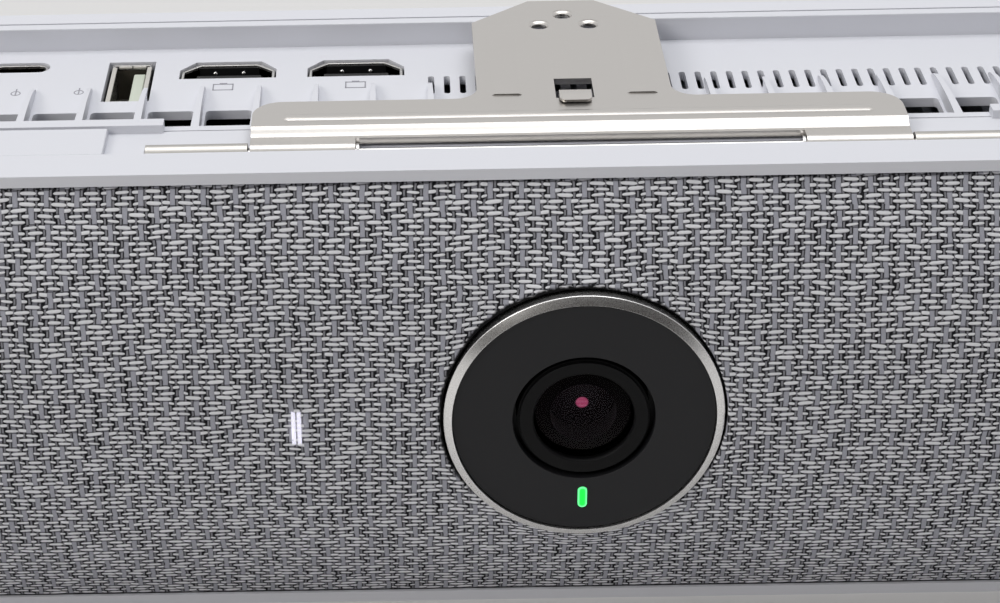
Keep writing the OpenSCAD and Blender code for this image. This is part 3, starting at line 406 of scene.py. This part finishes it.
def lightGuide(name, glow, rim, centre, half, width, back):
    # lit from behind: full colour in its middle and paler along its edge, dark behind its face
    edgeFrom, edgeTo = 0.45, 0.9
    finish = Finish(name, Roughness=0.3, Emission_Strength=1.0)
    x, y, z = finish.split(finish.coords())
    dx = abs(x - centre[0] * mm)
    dz = (abs(z - centre[1] * mm) - (half - width / 2) * mm).high(0)
    away = (dx * dx + dz * dz).root() / (width / 2 * mm)
    edge = away.ramp(edgeFrom, edgeTo)
    colour = finish.blend(y > back * mm, finish.blend(edge, glow, rim), (0.0, 0.0, 0.0))
    finish.feed("Emission Color", colour)
    finish.feed("Base Color", colour)
    return finish.material


lightGuides = {
    "indicatorLight": dict(glow=(0.0, 0.68, 0.05), rim=(0.14, 0.92, 0.30), centre=(0, 25.15), half=1.8,
                           width=1.38, back=-37),
    "statusLight": dict(glow=(0.85, 0.82, 1.0), rim=(0.75, 0.72, 0.95), centre=(-42.7, 38.8), half=2.95,
                        width=2.2, back=-36),
}
materials.update({name: lightGuide(name, **look) for name, look in lightGuides.items()})


def wovenCloth():
    # Three rows of weft between stout bars of warp, set over by half a pitch in every next band.
    # Lengths are in mm: u runs along the bar and v up the curved face.
    face = dict(radius=80, middle=38.5, ringZ=39.25, holeR=21.5, bendFrom=1, bendTo=6, bendV=0.9, bendU=0.5)
    drift = dict(slowScale=55, slowV=1.1, slowU=0.9, quickScale=260, quickStretch=(1, 1, 1.3),
                 quickV=0.22, quickU=0.5)
    weave = dict(pitch=4.6, row=0.835, rowShift=0.03, rowSeed=(3.7, 1.3), secondSeed=5, secondFrom=3.06,
                 longMid=1.88, longHalf=1.02, shortMid=3.83, shortHalf=0.56, midSpread=0.3, halfSpread=0.34,
                 weftHalf=0.26, weftSpread=0.11, weftShift=0.14, tilt=0.2, weftEdge=(0.78, 1.12),
                 threads=(0.66, 3.08), threadHalf=0.16, overEdge=(0.7, 1.2), underEdge=(0.7, 1.3),
                 barHalf=0.4, barSpread=(0.92, 0.16), barEdge=(0.82, 1.06), barEnd=(0.45, 0.5),
                 underBarEdge=(0.75, 1.1))
    fibre = dict(along=0.8, across=9, offset=4, scale=2.4, rough=0.65, fluffScale=3000,
                 fluffEdge=(0.5, 0.78), fluffShare=0.5)
    paint = dict(weft=(0.84, 0.845, 0.88), weftShade=(0.61, 0.615, 0.655), weftRoundShade=0.45, weftDice=0.5,
                 weftFibre=1.4, weftBase=0.05, bar=(0.42, 0.425, 0.485), barDark=0.62, barRoundShade=0.4,
                 barFibre=1.5, barBase=0.15, barUnderShade=0.55, barUnderShare=0.8, thread=(0.30, 0.30, 0.33),
                 threadDark=0.6, threadFibre=1.6, threadBase=-0.3, underThreadShaded=(0.10, 0.10, 0.112),
                 gap=(0.008, 0.008, 0.01), holeEdgeShadow=(0.003, 0.003, 0.0035), rough=0.92, weftSmooth=0.1)
    relief = dict(weft=0.5, bar=0.85, thread=0.45, fibre=0.08, strength=0.7, depth=0.3)
    edge = dict(lean=-1.6, widen=0.013, raggedScale=900, ragged=0.9, shadowFrom=0.15, shadowTo=0.55)
    lamp = dict(x=-42.9, z=38.45, slotAt=0.42, slotEdge=(0.2, 0.38), tall=(2.6, 3.15), base=0.5, between=0.6,
                halo=0.22, haloEdge=(0.3, 2.0), haloFlat=0.25, haloShade=0.6, colour=(0.86, 0.84, 1.0))
    finish = Finish("wovenCloth", Roughness=0.85, Specular_IOR_Level=0.2, Emission_Strength=1.0)
    place = finish.coords()
    x, _, z = finish.split(place)
    u = x * perMetre
    v = ((z * perMetre - face["middle"]) / face["radius"]).asin() * face["radius"]
    # threads bend round the camera's hole and wander a little everywhere
    dz = z * perMetre - face["ringZ"]
    away = (u * u + dz * dz).root()
    near = 1 - away.ramp(face["holeR"] - face["bendFrom"], face["holeR"] + face["bendTo"])
    bentV = v - near * near * dz / away * face["bendV"]
    bentU = u - near * near * u / away * face["bendU"]
    slow = finish.noise(place, drift["slowScale"], 2) - 0.5
    quick = finish.noise(finish.stretch(place, drift["quickStretch"]), drift["quickScale"], 2) - 0.5
    v = bentV + slow * drift["slowV"] + quick * drift["quickV"]
    u = bentU + slow * drift["slowU"] + quick * drift["quickU"]
    # which row, band and column a point lies in
    pitch = weave["pitch"]
    row = (v / weave["row"]).floor()
    band = (row / 3).floor()
    rowDice = finish.random(finish.join(row, *weave["rowSeed"]))
    turns = u / pitch + (band / 2).fract() + (rowDice - 0.5) * weave["rowShift"]
    column = turns.floor()
    t = turns.fract() * pitch
    odd = (row / 2).fract() * 2
    s = t + odd * (pitch - 2 * t)
    fromBar = t.low(pitch - t)
    inRow = ((v / weave["row"]).fract() - 0.5) * weave["row"]
    # a long and a short float of weft in each space between two bars
    second = s > weave["secondFrom"]
    dice = finish.random(finish.join(column, row, second + odd * 2))
    dice2 = finish.random(finish.join(row, second + weave["secondSeed"], column))
    middle = weave["longMid"] + second * (weave["shortMid"] - weave["longMid"])
    middle = middle + (dice - 0.5) * weave["midSpread"]
    half = weave["longHalf"] - second * (weave["longHalf"] - weave["shortHalf"])
    half = half + (dice2 - 0.5) * weave["halfSpread"]
    along = (s - middle) / half
    plump = (1 - along * along * along * along).high(0.0001).root()
    tilt = along * (dice2 - 0.5) * weave["tilt"]
    thick = weave["weftHalf"] + (dice2 - 0.5) * weave["weftSpread"]
    across = abs(inRow + (dice - 0.5) * weave["weftShift"] + tilt) / (thick * plump)
    weft = (1 - across.ramp(*weave["weftEdge"])) * (abs(along) < 1)
    # thin warp threads pass over this row, others lie under it
    first, last = weave["threads"]
    over = abs(s - first).low(abs(s - last)) / weave["threadHalf"]
    mirrored = pitch - s
    under = abs(mirrored - first).low(abs(mirrored - last)) / weave["threadHalf"]
    overThread = 1 - over.ramp(*weave["overEdge"])
    underThreadShaded = 1 - under.ramp(*weave["underEdge"])
    underBar = 1 - (abs(t - pitch / 2) / weave["barHalf"]).ramp(*weave["underBarEdge"])
    bandPlace = (v / (3 * weave["row"])).fract()
    barEnd = abs(bandPlace - 0.5).ramp(*weave["barEnd"])
    barLeast, barMore = weave["barSpread"]
    wide = weave["barHalf"] * (barLeast + barMore * rowDice)
    bar = (1 - (fromBar / wide).ramp(*weave["barEdge"])) * (1 - barEnd)
    # fibres run along each thread
    alongU = finish.join(u * fibre["along"], v * fibre["across"], 0)
    alongV = finish.join(u * fibre["across"], v * fibre["along"], fibre["offset"])
    fibreU = finish.noise(alongU, fibre["scale"], 3, fibre["rough"])
    fibreV = finish.noise(alongV, fibre["scale"], 3, fibre["rough"])
    # painted shade: each weft float is darker towards its edges, as a round thread is shaded, plus random
    # tone from dice and fibres
    weftShade = across * across * paint["weftRoundShade"] + (dice - 0.5) * paint["weftDice"]
    weftShade = (weftShade + (fibreU - 0.5) * paint["weftFibre"] + paint["weftBase"]).high(0).low(1)
    weftColour = finish.blend(weftShade, paint["weft"], paint["weftShade"])
    # painted shade: each bar is darker towards its edges, plus random tone from its fibres
    barShade = (fromBar / wide) ** 2 * paint["barRoundShade"]
    barShade = (barShade + (fibreV - 0.5) * paint["barFibre"] + paint["barBase"]).high(0).low(1)
    barColour = finish.blend(barShade, paint["bar"], shaded(paint["bar"], paint["barDark"]))
    threadShade = (fibreV * paint["threadFibre"] + paint["threadBase"]).high(0).low(1)
    threadDark = shaded(paint["thread"], paint["threadDark"])
    threadColour = finish.blend(threadShade, paint["thread"], threadDark)
    fluff = finish.noise(place, fibre["fluffScale"], 2).ramp(*fibre["fluffEdge"]) * fibre["fluffShare"]
    # painted shade: the gaps between threads are near black, with grey fluff in them
    colour = finish.blend(fluff, paint["gap"], paint["underThreadShaded"])
    # painted shade: warp threads lying under the weft are painted darker than those over it
    colour = finish.blend(underThreadShaded, colour, paint["underThreadShaded"])
    # painted shade: bars lying under the weft are painted darker
    barUnderShade = shaded(paint["bar"], paint["barUnderShade"])
    colour = finish.blend(underBar * paint["barUnderShare"], colour, barUnderShade)
    colour = finish.blend(overThread, colour, threadColour)
    colour = finish.blend(weft, colour, weftColour)
    colour = finish.blend(bar, colour, barColour)
    # painted shadow: a ragged black band at the hole's edge, for the shaded gap round the camera's ring,
    # widest above the camera
    above = (u + dz * edge["lean"]) * edge["widen"]
    ragged = finish.noise(place, edge["raggedScale"], 2) * edge["ragged"]
    shadowFrom, shadowTo = face["holeR"] + edge["shadowFrom"], face["holeR"] + edge["shadowTo"]
    rim = 1 - (away + above + ragged).ramp(shadowFrom, shadowTo)
    finish.feed("Base Color", finish.blend(rim, colour, paint["holeEdgeShadow"]))
    finish.feed("Roughness", paint["rough"] - weft * paint["weftSmooth"])
    dome = (1 - across * across).root()
    height = weft * (relief["weft"] + dome * (1 - relief["weft"]))
    height = height.high(bar * relief["bar"]).high(overThread * relief["thread"])
    height = height + (fibreU - 0.5) * relief["fibre"]
    finish.bump(height * (1 - rim), relief["strength"], relief["depth"])
    # painted light: the status light behind the cloth is painted on it as a glow in two upright slots with a
    # faint halo
    lampX = bentU - lamp["x"]
    lampZ = z * perMetre - lamp["z"]
    slots = 1 - abs(abs(lampX) - lamp["slotAt"]).ramp(*lamp["slotEdge"])
    tall = 1 - abs(lampZ).ramp(*lamp["tall"])
    glow = slots * tall * (lamp["base"] + (1 - weft) * lamp["between"])
    around = (lampX * lampX + lampZ * lampZ * lamp["haloFlat"]).root()
    halo = (1 - around.ramp(*lamp["haloEdge"])) * lamp["halo"]
    lit = (glow + halo * (1 - weft * lamp["haloShade"])).low(1)
    finish.feed("Emission Color", finish.blend(lit, (0.0, 0.0, 0.0), lamp["colour"]))
    return finish.material


materials["wovenCloth"] = wovenCloth()

finishOf = {
    "white_plastic": "whitePlastic",
    "ring_metal": "ringMetal",
    "charcoal_plastic": "charcoalPlastic",
    "black_plastic": "blackPlastic",
    "lens_glass": "lensGlass",
    "light_guide": "indicatorLight",
    "circuit_board": "boardGreen",
    "socket_metal": "socketMetal",
    "ivory_plastic": "ivoryPlastic",
    "aluminium": "sinkAluminium",
    "speaker_steel": "speakerPaint",
    "nickel_steel": "nickelSteel",
    "bright_steel": "brightSteel",
    "fabric": "wovenCloth",
}
slotOf = {part["node"]: part["material_slot"] for part in frame["record"]["subparts"]}
# nodes whose finish isn't the one of their slot
special = {
    "lens_barrel": "barrelBlack",
    "lens_retainer": "retainerPlastic",
    "lens_inner_glass": "lensWithPaintedGlint",
    "status_light_guide": "statusLight",
    "network_jack_contacts": "goldContact",
    # the hinge leaves take the darker copy of the nickel steel as painted shade
    "hinge_leaf_left": "nickelSteelShadedForLeaves",
    "hinge_leaf_right": "nickelSteelShadedForLeaves",
    # these sockets take painted shade below their mouth
    "hdmi_port_1": "socketMetalPaintedShade",
    "hdmi_port_2": "socketMetalPaintedShade",
    "usb_c_port": "socketMetalPaintedShade",
}
for name, obj in nodes.items():
    obj.data.materials.clear()
    obj.data.materials.append(materials[special.get(name, finishOf[slotOf[name]])])
print("materials:", len(materials))


# Pieces that take over a node's shape with rounded edges

edgeWidths = {
    "housing": 0.5,
    "front_rail": 0.3,
    "rear_rail": 0.2,
    "connector_tray": 0.15,
    "end_cover_left": 0.2,
    "end_cover_right": 0.2,
    "label_plate": 0.18,
    "trim_ring": 0.1,
    "camera_disc": 0.12,
    "lens_barrel": 0.08,
    "lens_retainer": 0.08,
    "hinge_leaf_left": 0.12,
    "hinge_leaf_right": 0.12,
    "hdmi_port_1": 0.1,
    "hdmi_port_2": 0.1,
    "usb_a_port": 0.08,
    "usb_c_port": 0.08,
    "network_jack": 0.1,
    "audio_jacks": 0.2,
    "power_inlet": 0.2,
    "usb_a_tongue": 0.2,
}
bodyOf = {name: body for body, members in frame["record"]["behaviour"]["bodies"].items() for name in members}
for name, width in edgeWidths.items():
    piece = copyOf(name, name + "_rounded")
    softEdges(piece, width)
    settle(piece, nodes[name].data.materials[0], slotOf[name], bodyOf[name], name)
print("rounded pieces:", len(edgeWidths))


def bracketPiece():
    look = dict(edge=0.14, segments=2, bendsBelow=38)
    piece = copyOf("mount_bracket", "mount_bracket_pressed")
    softEdges(piece, look["edge"], look["segments"], look["bendsBelow"])
    settle(piece, materials["nickelSteel"], "nickel_steel", "bracket", "mount_bracket")


bracketPiece()
print("bracket pressed")


# What the sockets hold

def displaySocketInsides():
    # a black lining on the rear wall with two bright spring fingers
    look = dict(wall=0.5, lining=0.22, liningEdge=0.06, below=0.3, deep=4.5, cornerIn=2.0,
                padX=2.3, padR=0.42, padScale=(1.0, 0.7, 1.25), padBelow=1.45)
    linings, pads = [], []
    for name in ("hdmi_port_1", "hdmi_port_2"):
        low, high = boxOf(name)
        back, top = high.y - look["wall"], high.z - look["below"]
        inset = look["wall"] + look["cornerIn"]
        face = back - look["lining"]
        linings.append(block((low.x + inset, face, top - look["deep"]), (high.x - inset, back, top)))
        for side in (-1, 1):
            bpy.ops.object.select_all(action="DESELECT")
            bpy.ops.mesh.primitive_uv_sphere_add(segments=24, ring_count=12, radius=look["padR"] * mm)
            pad = bpy.context.active_object
            x = (low.x + high.x) / 2 + side * look["padX"]
            pad.location = [value * mm for value in (x, face, high.z - look["padBelow"])]
            pad.scale = look["padScale"]
            bpy.ops.object.transform_apply(location=True, rotation=True, scale=True)
            pads.append(pad)
    inside = joined("display_socket_insides", linings)
    softEdges(inside, look["liningEdge"])
    settle(inside, materials["blackPlastic"], "black_plastic", "body")
    fingers = joined("display_socket_fingers", pads)
    onlySelect(fingers)
    bpy.ops.object.shade_smooth()
    settle(fingers, materials["brightSteel"], "socket_metal", "body")


def serialSocketLips():
    # flared lips, with painted shade: black blocks in the rear corner slots and a dark lining on the inner
    # back wall
    look = dict(proud=0.02, lipW=0.75, lipH=0.3, lipEdge=0.11, frontGap=0.1, seam=0.1, rearFrom=1.0,
                rearY=(0.25, 0.8), rearZ=(0.5, 0.12), corner=0.975, slotIn=0.1, slotY=(-0.05, 0.55),
                slotZ=(0.6, 0.2), slotEdge=0.08, wall=0.5, lining=0.2, liningEdge=0.06, below=0.75, deep=6)
    low, high = boxOf("usb_a_port")
    middle = (low.x + high.x) / 2
    top, front, back = high.z + look["proud"], low.y + look["frontGap"], high.y - look["rearFrom"]
    lip, lipFoot, corner, seam = look["lipW"], top - look["lipH"], look["corner"], look["seam"]
    rearY = [back + value for value in look["rearY"]]
    rearZ = [top - value for value in look["rearZ"]]
    edges = [((low.x, front, lipFoot), (low.x + lip, back, top)),
             ((high.x - lip, front, lipFoot), (high.x, back, top)),
             ((low.x + corner, rearY[0], rearZ[0]), (middle - seam, rearY[1], rearZ[1])),
             ((middle + seam, rearY[0], rearZ[0]), (high.x - corner, rearY[1], rearZ[1]))]
    lips = joined("serial_socket_lips", [block(*ends) for ends in edges])
    softEdges(lips, look["lipEdge"], 3)
    settle(lips, materials["lipIvory"], "ivory_plastic", "body")
    # painted shade: black blocks fill the slots in the rear corners, which are dark by shade
    slotY = [back + value for value in look["slotY"]]
    slotZ = [top - value for value in look["slotZ"]]
    slots = [((low.x + look["slotIn"], slotY[0], slotZ[0]), (low.x + corner, slotY[1], slotZ[1])),
             ((high.x - corner, slotY[0], slotZ[0]), (high.x - look["slotIn"], slotY[1], slotZ[1]))]
    dark = joined("serial_socket_slot_shade", [block(*ends) for ends in slots])
    softEdges(dark, look["slotEdge"])
    settle(dark, materials["blackPlastic"], "black_plastic", "body")
    # painted shade: a dark lining on the socket's inner back wall, which lies in shade
    wall, innerBack = look["wall"], high.y - look["wall"]
    lining = block((low.x + wall, innerBack - look["lining"], top - look["deep"]),
                   (high.x - wall, innerBack, top - look["below"]))
    lining.name = "serial_socket_lining_shade"
    softEdges(lining, look["liningEdge"])
    settle(lining, materials["socketInsideShade"], "black_plastic", "body")


def smallSocketContacts():
    look = dict(count=10, pitch=0.62, w=0.34, t=0.1, h=0.9, below=0.05, edge=0.03)
    low, high = boxOf("usb_c_tongue")
    middle, half = (low.x + high.x) / 2, look["w"] / 2
    top = high.z - look["below"]
    rows = []
    for i in range(look["count"]):
        x = middle + (i - (look["count"] - 1) / 2) * look["pitch"]
        for y, way in ((low.y, -1), (high.y, 1)):
            yFrom, yTo = sorted((y, y + way * look["t"]))
            rows.append(block((x - half, yFrom, top - look["h"]), (x + half, yTo, top)))
    contacts = joined("small_socket_contacts", rows)
    softEdges(contacts, look["edge"], 1)
    settle(contacts, materials["goldContact"], "socket_metal", "body")


def socketMarks():
    # plain marks on the bay floor: a screen on its foot by each display socket,
    # a struck ring by each serial one
    look = dict(floor=73.05, sunk=0.02, lift=0.05, line=0.2, screenW=3.3, screenL=2.3, screenY=9.0,
                screenX=(("hdmi_port_1", -0.5), ("hdmi_port_2", 0.0)), footW=1.2, footGap=0.12,
                ringR=0.72, strokeL=2.4, strokeY=0.4, ringPlaces=((-77.7, 8.0), (-87.75, 8.0)))
    bottom, top, line = look["floor"] - look["sunk"], look["floor"] + look["lift"], look["line"]
    strokes = []
    for name, shift in look["screenX"]:
        low, high = boxOf(name)
        x, y = (low.x + high.x) / 2 + shift, look["screenY"]
        left, right = x - look["screenW"] / 2, x + look["screenW"] / 2
        near, far = y - look["screenL"] / 2, y + look["screenL"] / 2
        footHalf, footY = look["footW"] / 2, far + look["footGap"]
        strokes += [(left, near, right, near + line), (left, far - line, right, far),
                    (left, near, left + line, far), (right - line, near, right, far),
                    (x - footHalf, footY, x + footHalf, footY + line)]
    for x, y in look["ringPlaces"]:
        near = y - look["strokeL"] / 2 + look["strokeY"]
        far = y + look["strokeL"] / 2 + look["strokeY"]
        strokes.append((x - line / 2, near, x + line / 2, far))
    parts = [block((x1, y1, bottom), (x2, y2, top)) for x1, y1, x2, y2 in strokes]
    for x, y in look["ringPlaces"]:
        bpy.ops.object.select_all(action="DESELECT")
        bpy.ops.mesh.primitive_torus_add(
            location=(x * mm, y * mm, look["floor"] * mm), major_radius=look["ringR"] * mm,
            minor_radius=line / 2 * mm, major_segments=36, minor_segments=8)
        ring = bpy.context.active_object
        ring.scale = (1, 1, 2 * look["lift"] / line)
        bpy.ops.object.transform_apply(location=True, rotation=True, scale=True)
        parts.append(ring)
    marks = joined("socket_marks", parts)
    settle(marks, materials["markGrey"], "white_plastic", "body")


displaySocketInsides()
serialSocketLips()
smallSocketContacts()
socketMarks()
print("sockets filled")


def clothPiece():
    look = dict(edge=0.3, segments=2, bendsBelow=50)
    piece = copyOf("fabric_cover", "fabric_stretched")
    softEdges(piece, look["edge"], look["segments"], look["bendsBelow"])
    settle(piece, materials["wovenCloth"], "fabric", "body", "fabric_cover")


clothPiece()
print("cloth stretched")


# Camera, light and floor

def addCamera():
    look = dict(focalPx=2454.828, imageW=1000, imageH=603, centreX=380.0, centreY=240.0, sensorW=36,
                nearest=0.01, pitch=28.575, yaw=-0.771, roll=1.357, place=(-25.61, -345.761, 238.101))
    pitch, yaw, roll = (math.radians(look[key]) for key in ("pitch", "yaw", "roll"))
    forward = Vector((math.sin(yaw) * math.cos(pitch), math.cos(yaw) * math.cos(pitch), -math.sin(pitch)))
    level = Vector((math.cos(yaw), -math.sin(yaw), 0))
    down = forward.cross(level)
    right = level * math.cos(roll) + down * math.sin(roll)
    down = down * math.cos(roll) - level * math.sin(roll)
    data = bpy.data.cameras.new("photoCamera")
    data.sensor_fit = "HORIZONTAL"
    data.sensor_width = look["sensorW"]
    data.lens = look["focalPx"] / look["imageW"] * look["sensorW"]
    data.shift_x = (look["imageW"] / 2 - look["centreX"]) / look["imageW"]
    data.shift_y = (look["centreY"] - look["imageH"] / 2) / look["imageW"]
    data.clip_start = look["nearest"]
    camera = bpy.data.objects.new("photoCamera", data)
    bpy.context.scene.collection.objects.link(camera)
    turn = Matrix((right, -down, -forward)).transposed().to_4x4()
    camera.matrix_world = Matrix.Translation(Vector(look["place"]) * mm) @ turn
    bpy.context.scene.camera = camera


def addLights():
    lamps = {
        "overhead": dict(place=(0.05, 0.12, 0.95), aim=(0, 0, 0.05), size=(0.9, 0.6), power=4.7,
                         colour=(1.0, 1.0, 1.0)),
        "front": dict(place=(-0.9, -0.75, 0.95), aim=(0, 0, 0.04), size=(0.7, 0.5), power=7.2,
                      colour=(1.0, 0.97, 0.93)),
    }
    for name, lamp in lamps.items():
        data = bpy.data.lights.new(name, "AREA")
        data.shape = "RECTANGLE"
        data.size, data.size_y = lamp["size"]
        data.energy = lamp["power"]
        data.color = lamp["colour"]
        light = bpy.data.objects.new(name, data)
        bpy.context.scene.collection.objects.link(light)
        light.location = lamp["place"]
        towards = Vector(lamp["aim"]) - Vector(lamp["place"])
        light.rotation_euler = towards.to_track_quat("-Z", "Y").to_euler()


def addWorld():
    # a soft light on the object; the eye, metal and glass see a pale room
    look = dict(lit=(0.97, 0.98, 1.0), litStrength=0.38, shown=(0.93, 0.93, 0.94), shownStrength=0.95)
    world = bpy.data.worlds.new("studio")
    world.use_nodes = True
    bpy.context.scene.world = world
    tree = world.node_tree
    tree.nodes.clear()
    path = tree.nodes.new("ShaderNodeLightPath")
    seen = path.outputs["Is Camera Ray"]
    for ray in ("Is Glossy Ray", "Is Transmission Ray"):
        either = tree.nodes.new("ShaderNodeMath")
        either.operation = "MAXIMUM"
        tree.links.new(seen, either.inputs[0])
        tree.links.new(path.outputs[ray], either.inputs[1])
        seen = either.outputs[0]
    mix = tree.nodes.new("ShaderNodeMixShader")
    tree.links.new(seen, mix.inputs[0])
    for i, part in enumerate(("lit", "shown")):
        background = tree.nodes.new("ShaderNodeBackground")
        background.inputs["Color"].default_value = (*look[part], 1)
        background.inputs["Strength"].default_value = look[part + "Strength"]
        tree.links.new(background.outputs[0], mix.inputs[i + 1])
    out = tree.nodes.new("ShaderNodeOutputWorld")
    tree.links.new(mix.outputs[0], out.inputs[0])


def addFloor():
    look = dict(colour=(0.78, 0.775, 0.77), dark=0.9, cloudScale=60, cloudShare=0.06, size=14)
    finish = Finish("tableTop", Roughness=0.7, Specular_IOR_Level=0.2)
    clouds = finish.noise(finish.coords(), look["cloudScale"], 3) * look["cloudShare"]
    finish.feed("Base Color", finish.blend(clouds, look["colour"], shaded(look["colour"], look["dark"])))
    bpy.ops.object.select_all(action="DESELECT")
    bpy.ops.mesh.primitive_plane_add(size=look["size"], location=(0, 0, 0))
    floor = bpy.context.active_object
    floor.name = "floor"
    floor.data.materials.append(finish.material)


def addDarkWall():
    # the dark side of the room, behind the viewer, which metal and glass reflect
    look = dict(colour=(0.035, 0.025, 0.02), dark=0.6, cloudScale=8, cloudShare=0.4, size=(15.6, 4.6), y=-5)
    finish = Finish("darkWall", Roughness=0.9, Specular_IOR_Level=0.1)
    clouds = finish.noise(finish.coords(), look["cloudScale"], 3) * look["cloudShare"]
    finish.feed("Base Color", finish.blend(clouds, look["colour"], shaded(look["colour"], look["dark"])))
    wide, tall = look["size"]
    bpy.ops.object.select_all(action="DESELECT")
    bpy.ops.mesh.primitive_plane_add(size=1, location=(0, 0, 0))
    wall = bpy.context.active_object
    wall.name = "darkWall"
    bpy.ops.transform.resize(value=(wide, tall, 1))
    bpy.ops.transform.rotate(value=math.radians(90), orient_axis="X", center_override=(0, 0, 0))
    bpy.ops.transform.translate(value=(0, look["y"], tall / 2))
    wall.data.materials.append(finish.material)


addCamera()
addLights()
addWorld()
addFloor()
addDarkWall()
bpy.context.scene.view_settings.view_transform = "Standard"
print("camera and light set")
